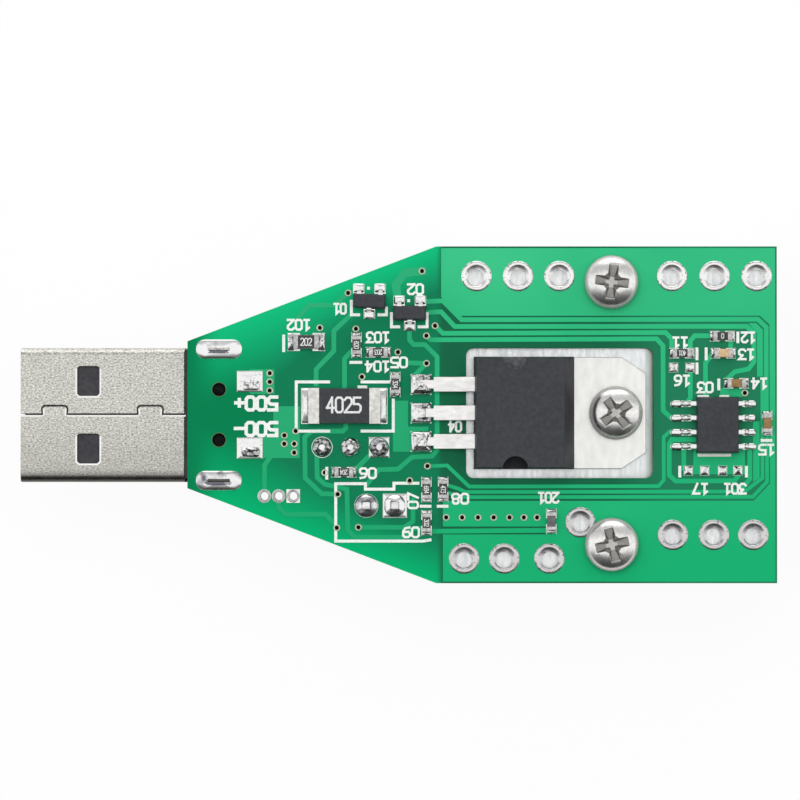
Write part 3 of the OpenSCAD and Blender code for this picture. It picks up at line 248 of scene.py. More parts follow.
def merged(name):
    """Copy of one CAD solid's mesh with its loose triangles joined into flat faces."""
    shape = bmesh.new()
    shape.from_mesh(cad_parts[name].data)
    bmesh.ops.remove_doubles(shape, verts=shape.verts, dist=WELD)
    bmesh.ops.dissolve_limit(shape, angle_limit=FLAT, verts=shape.verts[:], edges=shape.edges[:])
    return shape


def rounded_off(shape, edges, radius, steps=2, loose=False):
    """Rounds edges of a shape, radius in mm."""
    bmesh.ops.bevel(shape, geom=edges, offset=radius * MM, segments=steps, profile=0.5, affect="EDGES",
                    clamp_overlap=not loose)


def softened(name, radius, steps=2, loose=False):
    """Copy of one CAD solid's mesh with its sharp edges rounded, radius in mm."""
    shape = merged(name)
    bends = {e: e.calc_face_angle() for e in shape.edges if len(e.link_faces) == 2}
    rounded_off(shape, [e for e, bend in bends.items() if bend > SHARP], radius, steps, loose)
    return shape


def plain_mesh(name, shape):
    """Closes a shape into a mesh with its faces outwards."""
    bmesh.ops.recalc_face_normals(shape, faces=shape.faces[:])
    mesh = bpy.data.meshes.new(name)
    shape.to_mesh(mesh)
    shape.free()
    return mesh


def shaded(mesh, corner):
    """Shades a mesh smooth, but not over edges that bend by more than corner, in degrees."""
    mesh.shade_smooth()
    mesh.set_sharp_from_angle(angle=math.radians(corner))


def as_built(made):
    """Plain mesh of an object with its modifiers carried out."""
    graph = bpy.context.evaluated_depsgraph_get()
    return bpy.data.meshes.new_from_object(made.evaluated_get(graph), depsgraph=graph)


def finished(made, replaced):
    """Makes a piece plain mesh, its normals weighted to keep flat faces flat, and parents it to the load."""
    made.modifiers.new("even_normals", "WEIGHTED_NORMAL").keep_sharp = True
    whole = as_built(made)
    made.modifiers.clear()
    made.data = whole
    whole.name = made.name
    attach(made, "load")
    if replaced:
        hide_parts(*replaced)


def piece(name, shape, slot, *replaced, finishes=()):
    """Makes a shape a piece that rides on the load and stands for the CAD nodes named."""
    mesh = plain_mesh(name, shape)
    for finish in finishes:
        mesh.materials.append(finish)
    shaded(mesh, SMOOTH_UP_TO)
    finished(placed(name, mesh), replaced)


def rounded(name, radius, slot, *finishes, **how):
    """Piece that is a CAD solid with rounded edges."""
    piece(name, softened(name, radius, **how), slot, name, finishes=finishes)


drawn_finish = surface("bare_extrusion", (196, 200, 202), (226, 229, 230), 2400, (0.26, 0.4), metal=0.9,
                       bump=0.3, stretch=(0.2, 1, 1))
milled_finish = surface("milled_back", (218, 221, 223), (248, 249, 249), 2600, (0.16, 0.26), metal=0.75,
                        bump=0.06, stretch=(1, 0.25, 1))
tree = milled_finish.node_tree
in_window = worked_out(tree, "LESS_THAN", worked_out(tree, "ABSOLUTE", place_on(tree, "Y")), WINDOW_HALF * MM)
# Painted shade and a painted green reflection of the board's edge, on two sides of the cut-out.
for shade_band, shade in ((along(tree, "X", 21.9, 22.7, last=0.85), (116, 136, 123)),
                     (along(tree, "Y", -4.6, -6.4, last=0.3), (160, 163, 161))):
    blended(milled_finish, worked_out(tree, "MULTIPLY", shade_band, in_window), shade)
sink = softened("heat_sink", 0.1)
for face in sink.faces:
    on_back = face.normal.z > 0.99 and face.calc_center_median().z > (SINK_BACK - 0.1) * MM
    face.material_index = 1 if on_back else 0
piece("heat_sink", sink, "heat_sink_metal", "heat_sink", finishes=[drawn_finish, milled_finish])

# Circuit board: 1.6 mm glass laminate under green solder mask. The mask looks paler over copper, so tracks
# and pours show as lighter shapes, also on the underside. The board lies on the heat sink under two screws.
TOP = 16.6
BOTTOM = 15.0
PAD_TOP = 16.65
COPPER_TOP = 16.622
LAYER_FOOT = TOP - 0.02
HAIR = 0.0006
EDGE_SLOPE = 0.3815
EDGE_AT_ZERO = 13.7 * MM
PALE_FROM = 0.4 * MM
PALE_REACH = (4.1 * MM, 6.2 * MM)
TRACK_WIDTH = 0.42
CLOSE_WIDTH = 0.33
WIDE_TRACK = 0.75
EDGE_HOLES = ([(x, 12.35) for x in (6.99, 10.70, 14.38, 24.40, 28.20, 31.95)]
              + [(x, -12.8) for x in (5.88, 9.46, 13.48)]
              + [(x, -10.7) for x in (24.46, 28.12, 31.63)] + [(16.23, -9.58)])
BOARD_SCREWS = [(19.0, 11.8, -7), (19.0, -11.55, 13)]
TRIMMER_PINS = [(x, -2.9) for x in (-6.76, -4.22, -1.68)]
HEADER_PINS = [(x, -8.1) for x in (-2.82, -0.28)]
SPARE_HOLES = [(x, -7.24) for x in (-11.9, -10.63, -9.33)]
TRACKS = [
    [(-9.02, 8.46), (-7.95, 9.75), (-5.62, 9.75), (-4.46, 10.87)],
    [(-4.29, 8.81), (-5.71, 7.47), (-5.71, 5.69), (-7.29, 4.04), (-7.29, 2.74)],
    [(-4.29, 5.51), (-4.76, 4.97), (-4.76, 2.21)],
    [(-4.64, -0.83), (-4.64, -1.19), (-4.91, -1.46), (-7.68, -1.46), (-8.3, -1.99), (-8.26, -5.65),
     (-6.79, -7.04), (-5.36, -7.08)],
    [(-7.23, -3.6), (-7.19, -5.61), (-6.52, -6.19), (-4.55, -6.63), (-4.46, -10.29), (-3.84, -10.92),
     (0.45, -10.92), (1.34, -10.12), (2.05, -10.12)],
    [(-2.32, -3.42), (-3.66, -4.76)],
    [(1.03, 7.47), (1.03, 6.67), (1.38, 6.25), (2.41, 6.24), (3.48, 5.15), (3.48, -3.15), (3.04, -3.69),
     (1.25, -3.78), (0, -4.85), (-1.7, -4.89), (-2.77, -6.19)],
    [(2.54, 4.57), (0.89, 4.62)],
    [(2.32, 4.35), (1.61, 3.63)],
    [(2.14, 10.06), (3.99, 10.15), (5.67, 8.46), (32.05, 8.5), (32.8, 7.79), (32.8, 0.24)],
    [(2.62, 9.1), (3.84, 9.17), (5.05, 7.86), (31.07, 7.87), (31.7, 7.29), (31.7, 4.71), (31.25, 4.08),
     (30, 3.83), (29.34, 3.19)],
    [(3.3, 7.92), (3.99, 7.25), (23.84, 7.32), (24.38, 6.76), (24.38, 5.78)],
    [(2.53, 7.03), (2.9, 6.67), (23.04, 6.76), (23.61, 6.13), (23.61, 0.37), (24.26, -0.22), (24.64, -0.22)],
    [(28.04, 7.03), (26.43, 7.03), (26.04, 6.58), (26.04, 5.6)],
    [(26.04, 4.17), (26.04, 1.49), (25.71, 1.04)],
    [(27.95, 5.33), (27.39, 4.62), (27.39, 1.31)],
    [(29.64, 6.94), (29.64, 5.6)],
    [(25.45, -2.88), (25.45, -4.76)],
    [(26.61, -2.21), (24.38, -2.21), (24.15, -2.62), (24.15, -5.38), (24.73, -5.92), (29.96, -5.88),
     (30.41, -5.29)],
    [(31.32, -2.88), (31.32, -5.74), (30.71, -6.46)],
    [(2.68, -10.38), (13.21, -10.29)],
    [(-10.62, -7.95), (-10.62, -8.24), (-10, -8.87), (-6.43, -8.87), (-5.45, -9.94)],
    [(-11.88, -6.6), (-11.88, -4.49), (-11.43, -3.87)],
    [(-3.52, -10.03), (0.54, -10.03), (1.34, -9.49), (1.34, -7.62)],
]
CLOSE_TRACKS = [
    [(2.62, -4.58), (4.38, -4.52), (6.34, -6.4), (23.21, -6.36), (23.66, -5.83), (23.66, -1.99), (24.2, -1.5),
     (24.64, -1.5)],
    [(4.11, -6.19), (5.48, -6.62), (5.98, -6.88), (30.54, -6.84), (30.98, -6.75), (32.45, -5.65),
     (32.45, 3.1)],
    [(4.55, -6.99), (5.54, -7.34), (31.6, -7.31), (32.86, -5.97), (32.86, -1.72)],
]
BENT_TRACK = [(2.14, 12.79), (0.63, 12.65), (-0.18, 11.58), (0.0, 10.1)]
LARGE_POUR = [(3.84, 14.85), (33.6, 14.85), (33.6, -14.85), (4.0, -14.85), (4.0, -10.66), (13.2, -10.66),
              (13.2, -9.95), (4.0, -9.95), (4.0, -7.68), (31.67, -7.66), (33.12, -6.12), (33.09, 8.05),
              (32.23, 8.83), (5.63, 8.81), (3.84, 10.5)]
SMALL_POURS = [
    [(-11.1, 0.75), (-8.75, 0.75), (-8.75, -3.87), (-13.2, -3.87), (-13.2, -2.4), (-11.1, -1.7)],
    [(-13.2, 4.05), (-11.0, 4.05), (-11.0, 1.85), (-13.2, 1.85)],
    [(-0.45, 1.25), (0.9, 1.25), (0.9, -1.06), (2.7, -1.06), (2.7, -3.3), (-0.45, -3.3)],
    [(28.7, 2.35), (30.7, 2.35), (30.7, 1.6), (28.7, 1.6)],
    [(26.3, -2.6), (30.9, -2.6), (30.9, -5.3), (26.3, -5.3)],
    [(24.2, 4.6), (24.9, 4.6), (24.9, 3.8), (24.2, 3.8)],
    [(31.98, 8.0), (32.5, 7.6), (32.5, 3.4), (31.98, 3.4)],
    [(31.2, 8.16), (31.9, 8.16), (32.3, 7.8), (31.98, 7.3)],
    [(31.62, -0.6), (32.2, -0.6), (32.2, -5.6), (31.62, -6.0)],
]
UNDER_POUR = [(-12.9, 8.2), (3.4, 14.4), (3.4, -14.4), (-12.9, -8.2)]


def skinned(shape, rows, loop):
    """Joins rings of corners with faces; loop joins the last ring to the first."""
    for lower, upper in zip(rows, rows[1:] + rows[:1] if loop else rows[1:]):
        for i in range(len(lower)):
            j = (i + 1) % len(lower)
            corners = list(dict.fromkeys((lower[i], lower[j], upper[j], upper[i])))
            if len(corners) > 2:
                shape.faces.new(corners)


def ribbon(shape, points, width, low, high, closed=False, cap=0.5):
    """Mitred strip along points in mm, closed all round; its ends reach past the points by cap widths."""
    count = len(points)
    sides = []
    for i, (x, y) in enumerate(points):
        before = Vector(points[(i - 1) % count]) if closed or i else None
        after = Vector(points[(i + 1) % count]) if closed or i < count - 1 else None
        here = Vector((x, y))
        way_in = (here - before).normalized() if before else (after - here).normalized()
        way_out = (after - here).normalized() if after else way_in
        middle = (way_in + way_out).normalized()
        across = Vector((-middle.y, middle.x)) * (width / 2 / max(0.4, middle.dot(way_in)))
        if not before:
            here = here - way_out * width * cap
        if not after:
            here = here + way_in * width * cap
        sides.append((here + across, here - across))
    rows = [[shape.verts.new((p.x * MM, p.y * MM, z * MM))
             for p, z in ((a, low), (b, low), (b, high), (a, high))] for a, b in sides]
    if not closed:
        shape.faces.new(rows[0][::-1])
        shape.faces.new(rows[-1])
    skinned(shape, rows, closed)


def circle(x, y, radius, steps=32):
    """Points of a circle in mm."""
    turns = [2 * math.pi * i / steps for i in range(steps)]
    return [(x + radius * math.cos(turn), y + radius * math.sin(turn)) for turn in turns]


def sheet(shape, outline, holes, low, high):
    """Flat plate inside an outline in mm, with holes."""
    curve = bpy.data.curves.new("outline", "CURVE")
    curve.dimensions = "2D"
    curve.fill_mode = "BOTH"
    curve.extrude = (high - low) / 2 * MM
    for loop in [outline, *holes]:
        spline = curve.splines.new("POLY")
        spline.points.add(len(loop) - 1)
        for point, (x, y) in zip(spline.points, loop):
            point.co = (x * MM, y * MM, 0, 1)
        spline.use_cyclic_u = True
    holder = bpy.data.objects.new("outline", curve)
    flat = bpy.data.meshes.new_from_object(holder)
    flat.transform(Matrix.Translation((0, 0, (low + high) / 2 * MM)))
    own = bmesh.new()
    own.from_mesh(flat)
    bmesh.ops.remove_doubles(own, verts=own.verts, dist=1e-7)
    own.to_mesh(flat)
    own.free()
    shape.from_mesh(flat)
    bpy.data.meshes.remove(flat)
    bpy.data.objects.remove(holder)
    bpy.data.curves.remove(curve)


mask = surface("solder_mask", (24, 99, 68), (34, 122, 86), 900, (0.28, 0.4), bump=0.08, gloss=0.03,
               by=lambda tree: along(tree, "X", 19, 24))
tree = mask.node_tree
edge_line = worked_out(tree, "MULTIPLY_ADD", place_on(tree, "X"), EDGE_SLOPE, EDGE_AT_ZERO)
inside = worked_out(tree, "SUBTRACT", edge_line, worked_out(tree, "ABSOLUTE", place_on(tree, "Y")))
rim = ranged(tree, inside, along(tree, "X", -4, -11, *PALE_REACH), PALE_FROM)
taper = along(tree, "X", 3.3, 4.1, 1.0, 0.0, ease="SMOOTHSTEP")
neck = along(tree, "X", -18.7, -15.5, ease="SMOOTHSTEP")
glow = worked_out(tree, "MULTIPLY", worked_out(tree, "MULTIPLY", rim, taper), neck)
blended(mask, taper, (18, 121, 82))
blended(mask, along(tree, "X", -9, -15, ease="SMOOTHSTEP"), (5, 124, 77))
blended(mask, glow, mixed(tree, along(tree, "Y", -5, 5), (4, 171, 108), (16, 183, 121)))
laminate = surface("cut_laminate", (62, 148, 102), (96, 168, 120), 3000, (0.6, 0.8), bump=0.4,
                   stretch=(1, 1, 6))
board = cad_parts["circuit_board"]
board.data.materials.clear()
for finish in (mask, laminate):
    board.data.materials.append(finish)
for face in board.data.polygons:
    face.material_index = 0 if abs(face.normal.z) > 0.7 else 1

copper = bmesh.new()
for i, track in enumerate(TRACKS):
    ribbon(copper, track, TRACK_WIDTH, LAYER_FOOT, COPPER_TOP + HAIR * i)
for i, track in enumerate(CLOSE_TRACKS):
    ribbon(copper, track, CLOSE_WIDTH, LAYER_FOOT, COPPER_TOP - HAIR * (i + 1))
ribbon(copper, BENT_TRACK, WIDE_TRACK, LAYER_FOOT, COPPER_TOP - 0.001)
pour_holes = [circle(x, y, 1.2) for x, y in EDGE_HOLES] + [circle(x, y, 1.75) for x, y, turn in BOARD_SCREWS]
sheet(copper, LARGE_POUR, pour_holes, LAYER_FOOT, COPPER_TOP - 0.003)
for i, patch in enumerate(SMALL_POURS):
    sheet(copper, patch, [], LAYER_FOOT, COPPER_TOP - 0.005 - 0.001 * i)
pin_holes = [circle(x, y, radius)
             for spots, radius in ((TRIMMER_PINS, 1.1), (HEADER_PINS, 1.2), (SPARE_HOLES, 0.62))
             for x, y in spots]
sheet(copper, UNDER_POUR, pin_holes, BOTTOM - 0.02, BOTTOM + 0.02)
over_copper = surface("mask_over_copper", (45, 180, 123), (57, 191, 132), 700, (0.26, 0.4), bump=0.08,
                      by="Cloudy", gloss=0.08)
blended(over_copper, along(over_copper.node_tree, "Y", 13, -13), (16, 171, 110))
blended(over_copper, along(over_copper.node_tree, "X", 4.0, 3.0, last=0.45), (34, 146, 101))
piece("tracks_and_pours", copper, "solder_mask", finishes=[over_copper])

# Vias and large plated holes: drilled through the board, copper plated and tinned, so each wears a bright
# ring. The vias are too small to see through; a black plug in each is painted shade for its deep narrow
# hole. Those over the heat sink have no ring underneath. The plated holes' rings carry painted shade: dark
# specks on their outer slopes, and a greyer tint in the lower rows.
VIAS = [(-11.42, 3.69), (-11.42, 2.92), (-11.42, 2.15), (-9.11, -1.46), (-10.12, -1.85), (-10.13, -2.6),
        (-9.24, -2.6), (-9.24, -3.38), (-6.96, 7.74), (-4.44, 10.84), (2.14, 12.79), (3.3, 7.92),
        (2.53, 7.03), (2.54, 4.57), (-3.75, 7.65), (0.0, 5.57), (-3.21, 3.37), (-6.52, -5.16),
        (30.89, 1.94), (-5.36, -7.08), (-5.45, -10.07), (-3.52, -10.03), (1.04, -5.87), (4.29, -9.15),
        (5.71, -9.15), (7.12, -9.15), (8.52, -9.15), (9.93, -9.15), (11.21, -9.15), (12.38, -9.15),
        (2.62, -4.58)]
CLEAR_OF_SINK = 3.2
VIA_STEPS = 24
VIA_RING = [(0.31, -0.03), (0.305, 0.055), (0.27, 0.07), (0.22, 0.065), (0.185, 0.05), (0.185, -0.03)]
UNDER_RING = [(0.31, 0.03), (0.305, -0.03), (0.22, -0.035), (0.2, 0.03)]
VIA_SHADE_PLUG = [(0, -1.63), (0.205, -1.63), (0.205, -0.02), (0.195, 0.05), (0, 0.052)]
PLATING = [(1.36, -0.02), (1.355, 0.03), (1.32, 0.065), (1.26, 0.09), (1.19, 0.106), (1.1, 0.11),
           (1.03, 0.106), (0.985, 0.092), (0.95, 0.07), (0.9, 0.045), (0.86, 0.018), (0.82, -0.006),
           (0.78, -0.027), (0.75, -0.04), (0.73, -0.047), (0.72, -0.08), (0.72, -1.6), (0.92, -1.6),
           (0.92, -0.02)]
PLATING_STEPS = 48
OUTER_SLOPE = 1.25
FUNNEL = 0.9
FUNNEL_DEPTH = 0.18
SLUMP = 0.14 * MM
DENTS = 0.02 * MM
DENTS_A_METRE = 2600


def lathe(shape, profile, steps=32, loop=False, x=0.0, y=0.0):
    """Turns (radius, height) points in mm round an upright line; loop joins the last point to the first."""
    rings = []
    for radius, z in profile:
        if radius == 0:
            rings.append([shape.verts.new((x * MM, y * MM, z * MM))] * steps)
        else:
            spots = circle(x, y, radius, steps)
            rings.append([shape.verts.new((px * MM, py * MM, z * MM)) for px, py in spots])
    skinned(shape, rings, loop)


copies = bpy.data.node_groups.new("copies_on_spots", "GeometryNodeTree")
sockets = copies.interface
sockets.new_socket("Spots", in_out="INPUT", socket_type="NodeSocketGeometry")
pattern_input = sockets.new_socket("Pattern", in_out="INPUT", socket_type="NodeSocketObject").identifier
finish_input = sockets.new_socket("Finish", in_out="INPUT", socket_type="NodeSocketMaterial").identifier
sockets.new_socket("Copies", in_out="OUTPUT", socket_type="NodeSocketGeometry")
asked = node(copies, "NodeGroupInput").outputs
pattern = node(copies, "GeometryNodeObjectInfo", [("Object", asked["Pattern"])]).outputs["Geometry"]
turned = node(copies, "GeometryNodeInputNamedAttribute", [("Name", "turn")], data_type="FLOAT_VECTOR")
spin = node(copies, "FunctionNodeEulerToRotation", [(0, turned.outputs[0])]).outputs[0]
spread = node(copies, "GeometryNodeInstanceOnPoints", [("Points", asked["Spots"]), ("Instance", pattern),
                                                       ("Rotation", spin)])
real = node(copies, "GeometryNodeRealizeInstances", [(0, spread.outputs[0])]).outputs[0]
dressed = node(copies, "GeometryNodeSetMaterial", [("Geometry", real), ("Material", asked["Finish"])])
node(copies, "NodeGroupOutput", [(0, dressed.outputs[0])])


def repeated(name, shape, spots, z, finish, slot, *replaced, corner=SMOOTH_UP_TO):
    """Sets a copy of a shape on each spot (x, y in mm, turn in degrees) at one height, as one piece."""
    model = plain_mesh("pattern", shape)
    shaded(model, corner)
    holder = placed("pattern", model)
    mesh = bpy.data.meshes.new(name)
    mesh.from_pydata([Vector((x, y, z)) * MM for x, y, turn in spots], [], [])
    turns = mesh.attributes.new("turn", "FLOAT_VECTOR", "POINT")
    for i, (x, y, turn) in enumerate(spots):
        turns.data[i].vector = (0, 0, math.radians(turn))
    made = placed(name, mesh)
    builder = made.modifiers.new("copies", "NODES")
    builder.node_group = copies
    builder[pattern_input] = holder
    builder[finish_input] = finish
    finished(made, replaced)
    bpy.data.objects.remove(holder)


def turned_piece(name, profile, steps, spots, z, finish, slot, loop=True):
    """Piece that is one turned shape on each spot (x, y)."""
    shape = bmesh.new()
    lathe(shape, profile, steps, loop)
    repeated(name, shape, [(x, y, 0) for x, y in spots], z, finish, slot)


def painted(finish, name):
    """What the mesh is painted with under this name, from 0 to 1."""
    return node(finish.node_tree, "ShaderNodeAttribute", attribute_name=name).outputs["Fac"]


def speckled(finish, shade):
    """Lets painted shade show through a bright finish as dark specks, more of it where the mesh is painted
    with shade.
    """
    tree = finish.node_tree
    fine = next(n for n in tree.nodes if n.type == "GROUP").outputs["Fine"]
    total = worked_out(tree, "ADD", fine, painted(finish, "shade"))
    blended(finish, ranged(tree, total, 0.8, 1.35), shade)


tin = surface("tin", (226, 226, 225), (244, 244, 242), 2000, (0.1, 0.22), metal=1.0, bump=0.3)
via_tin = surface("via_tin", (170, 178, 150), (214, 218, 196), 4000, (0.3, 0.45), metal=0.7, bump=0.2)
# Painted shade: a black plug stands in each via for the shade deep in its narrow hole.
via_shade = surface("via_well", (3, 3, 3), (12, 10, 9), 4000, (0.6, 0.8), bump=0.2, gloss=0.05)
open_vias = [(x, y) for x, y in VIAS if x < CLEAR_OF_SINK]
turned_piece("via_rings", VIA_RING, VIA_STEPS, VIAS, TOP, via_tin, "tin")
turned_piece("via_rings_below", UNDER_RING, VIA_STEPS, open_vias, BOTTOM, via_tin, "tin")
turned_piece("via_wells", VIA_SHADE_PLUG, VIA_STEPS, VIAS, TOP, via_shade, "package_black", loop=False)
plating = bmesh.new()
lathe(plating, PLATING, PLATING_STEPS, loop=True)
shade = plating.verts.layers.float.new("shade")
for corner in plating.verts:
    radius = corner.co.xy.length / MM
    corner[shade] = 0.36 if radius > OUTER_SLOPE else 0.1
    corner.co.y -= SLUMP * min(1.0, max(0.0, (FUNNEL - radius) / FUNNEL_DEPTH))
    corner.co.z += DENTS * noise.noise(corner.co * DENTS_A_METRE)
hole_tin = surface("hole_tin", (240, 239, 238), (254, 254, 253), 4200, (0.2, 0.32), metal=1.0, bump=0.3)
# Painted shade: the rings of the lower rows turn greyer, and dark specks show on the rings' outer slopes.
blended(hole_tin, along(hole_tin.node_tree, "Y", -5, -8, last=0.42), (150, 145, 147))
speckled(hole_tin, (118, 113, 113))
# Each hole is turned by an angle of its own, so that no two show the same dents.
hole_spots = [(x, y, 37 * i % 50 - 25) for i, (x, y) in enumerate(EDGE_HOLES)]
repeated("plated_holes", plating, hole_spots, TOP, hole_tin, "tin", "edge_hole_platings")

# White printing: outlines and plain numbers in a thin screen-printed ink on the mask. Most numbers stand on
# their heads in this view, as labels do that are read from the other long edge.
PRINT_TOP = 16.655
PEN = 0.26
LABEL_TOP = PRINT_TOP + 0.002
LABEL_HEIGHT = 0.86
LABEL_PEN = 0.2
GLYPH_WIDTH = 0.6
GLYPH_STEP = 1.32
GLYPHS = {
    "0": [[(0.15, 0), (0.45, 0), (0.6, 0.15), (0.6, 0.85), (0.45, 1), (0.15, 1), (0, 0.85), (0, 0.15),
           (0.15, 0)]],
    "1": [[(0.08, 0.8), (0.3, 1), (0.3, 0)], [(0.08, 0), (0.52, 0)]],
    "2": [[(0, 0.85), (0.15, 1), (0.45, 1), (0.6, 0.85), (0.6, 0.62), (0, 0)], [(0, 0), (0.6, 0)]],
    "3": [[(0, 1), (0.6, 1), (0.28, 0.6)],
          [(0.28, 0.6), (0.45, 0.6), (0.6, 0.45), (0.6, 0.15), (0.45, 0), (0.15, 0), (0, 0.15)]],
    "4": [[(0.46, 0), (0.46, 1)], [(0.46, 1), (0, 0.3)], [(0, 0.3), (0.62, 0.3)]],
    "5": [[(0.58, 1), (0, 1), (0, 0.56), (0.42, 0.56), (0.6, 0.42), (0.6, 0.15), (0.45, 0), (0, 0)]],
    "6": [[(0.55, 1), (0.2, 0.92), (0, 0.6), (0, 0.15), (0.15, 0), (0.45, 0), (0.6, 0.15), (0.6, 0.4),
           (0.45, 0.55)], [(0.45, 0.55), (0.05, 0.55)]],
    "7": [[(0, 1), (0.6, 1), (0.2, 0)]],
    "8": [[(0.15, 0), (0.45, 0), (0.6, 0.15), (0.6, 0.4), (0.45, 0.52), (0.15, 0.52), (0, 0.4), (0, 0.15),
           (0.15, 0)],
          [(0.15, 0.52), (0.06, 0.65), (0.06, 0.88), (0.18, 1), (0.42, 1), (0.54, 0.88), (0.54, 0.65),
           (0.45, 0.52)]],
    "9": [[(0.05, 0), (0.4, 0.08), (0.6, 0.4), (0.6, 0.85), (0.45, 1), (0.15, 1), (0, 0.85), (0, 0.6),
           (0.15, 0.45)], [(0.15, 0.45), (0.55, 0.45)]],
    "+": [[(0.05, 0.45), (0.55, 0.45)], [(0.3, 0.2), (0.3, 0.7)]],
    "-": [[(0.02, 0.45), (0.58, 0.45)]],
}
PRINTED_LINES = [
    [(-10.18, 7.1), (-10.18, 5.6)],
    [(-4.15, 10.2), (-4.15, 8.9), (-3.4, 8.9)], [(-1.8, 8.9), (-1.03, 8.9), (-1.03, 9.6)],
    [(-0.58, 9.1), (-0.58, 7.83), (0.17, 7.83)], [(1.78, 7.83), (2.59, 7.83), (2.59, 9.1)],
    [(-4.29, 4.66), (-3.21, 4.66)], [(-6.34, -4.67), (-6.34, -5.74)],
    [(1.96, -8.15), (2.95, -8.15)], [(3.48, -8.15), (4.46, -8.15)],
    [(26.63, 5.96), (26.63, 4.88)], [(30.27, 7.38), (30.27, 6.4)], [(27.45, 5.96), (27.45, 4.88)],
    [(28.57, 3.19), (28.57, 2.2)], [(32.32, -2.29), (33.3, -2.29)], [(26.63, 4.62), (26.63, 3.63)],
    [(25.09, -4.58), (25.09, -5.56)], [(31.02, -4.58), (31.02, -5.56)],
    [(26.7, 1.62), (27.68, 1.62)], [(28.66, 1.62), (29.46, 1.62)], [(26.7, -3.6), (29.64, -3.6)],
    [(-6.07, 2.92), (-9.06, 2.92), (-9.06, -1.46), (-6.07, -1.46)],
    [(-3.3, 2.92), (-0.71, 2.92)], [(-0.42, 1.4), (-0.42, -1.46), (-3.3, -1.46)],
    [(-3.57, 2.47), (-2.77, 2.47)],
    [(2.95, -11.13), (2.23, -11.25), (-5.54, -11.25), (-5.54, -6.14), (-2.9, -6.14), (-2.9, -6.63),
     (-0.36, -6.63), (-0.36, -6.1), (1.88, -6.1)],
    [(-2.73, 11.27), (-2.53, 11.27)], [(0.85, 10.15), (1.05, 10.15)],
]
PRINTED_NUMBERS = [
    ("102", -8.84, 8.01, 1.94), ("01", -5.18, 9.44, 1.05), ("02", 1.56, 11.18, 1.32),
    ("103", -1.79, 6.89, 1.94), ("104", -1.83, 4.3, 2.03), ("05", 0.09, 4.66, 1.4),
    ("06", -2.68, -5.21, 1.4), ("09", 1.16, -10.47, 1.4),
    ("08", 5.54, -7.48, 1.4), ("11", 25.13, 6.45, 1.3), ("12", 31.2, 6.89, 1.14), ("201", 13.39, -7.39, 1.76),
    ("13", 31.03, 5.38, 1.3), ("14", 32.19, 2.79, 1.3), ("15", 32.81, -3.11, 1.3), ("16", 25.31, 3.05, 1.3),
    ("17", 26.92, -6.59, 1.3), ("301", 30.0, -6.59, 1.9), ("03", 27.37, 2.43, 1.3), ("04", 5.09, -1.05, 1.05),
]


def number(shape, text, x, y, width, height, pen, low, high, turn=180):
    """Draws characters in strokes round a centre in mm; strokes that cross differ in height by a hair."""
    cell = width / (GLYPH_STEP * (len(text) - 1) + 1)
    spin = Matrix.Rotation(math.radians(turn), 2)
    layer = 0.0
    for i, sign in enumerate(text):
        for stroke in GLYPHS[sign]:
            layer = (layer + 0.0008) % 0.0024
            spots = []
            for u, v in stroke:
                across = i * GLYPH_STEP * cell + u / GLYPH_WIDTH * cell - width / 2
                spots.append(tuple(spin @ Vector((across, (v - 0.5) * height)) + Vector((x, y))))
            closed = spots[0] == spots[-1]
            ribbon(shape, spots[:-1] if closed else spots, pen, low, high + layer, closed)


printing = bmesh.new()
for i, line in enumerate(PRINTED_LINES):
    ribbon(printing, line, PEN, LAYER_FOOT, PRINT_TOP - HAIR * i, cap=0.1)
for text, x, y, width in PRINTED_NUMBERS:
    number(printing, text, x, y, width, LABEL_HEIGHT, LABEL_PEN, LAYER_FOOT, LABEL_TOP)
number(printing, "07", 1.34, -7.66, 1.3, LABEL_HEIGHT, LABEL_PEN, LAYER_FOOT, LABEL_TOP, turn=90)
for text, y in (("500+", 1.0), ("500-", -1.28)):
    number(printing, text, -12.65, y, 3.7, 1.15, 0.3, LAYER_FOOT, LABEL_TOP)
ink = surface("print_ink", (224, 228, 224), (244, 246, 243), 5000, (0.55, 0.7), bump=0.25)
piece("printing", printing, "white_nylon", finishes=[ink])

# Plug: a type A shell folded from nickel-plated sheet, its seam locked by two dovetails, with two latch
# windows. Strips of painted highlight run along the windows' lower and side rims, along the seam and on
# the dovetails' flanks, and the shell carries painted shade towards its lower side, most on its lower bend.
# The black moulding inside carries four gilt contacts and stands on two pegs in the board; their ends are
# painted near black as painted shade deep in the holes. The shell's tabs go through the board and are
# soldered on top.
SHELL_TOP = 15.0
STRIP_FOOT = SHELL_TOP - 0.1
STRIP_TOP = SHELL_TOP + 0.012
EDGE_STRIP = 0.13
LATCH_STRIP = 0.15
MOUTH = -33.75
SEAM = -0.08
SEAM_RUNS = ((0.1, 1.95), (4.2, 10.5), (12.75, 14.7))
DOVETAILS = (3.05, 11.6)
LATCHES = (3.02, -3.02)
LATCH_LEFT = MOUTH + 4.98
LATCH_RIGHT = MOUTH + 7.14
LATCH_LOW = 1.4
LATCH_HIGH = 1.05
LATCH_CORNER = 0.25
TAB_X = -15.95
TAB_Y = 5.85
PEGS = [(TAB_X, side * 2.25) for side in (-1, 1)]
PEG_STEPS = 40
PEG_RIM = [(0.67, -0.02), (0.66, 0.02), (0.62, 0.03), (0.59, 0.0), (0.59, -0.02)]
PEG_END = [(0, -0.4), (0.5, -0.4), (0.5, -0.34), (0.3, -0.3), (0, -0.32)]
DOME_FOOT = 0.04
DENTS_A_MM = 2.2
nickel = surface("nickel_sheet", (156, 154, 146), (248, 247, 240), 8000, (0.28, 0.38), metal=1.0, bump=0.9,
                 stretch=(0.65, 1, 1))
tree = nickel.node_tree
low_bend = along(tree, "Y", -4.7, -5.9, ease="SMOOTHSTEP")
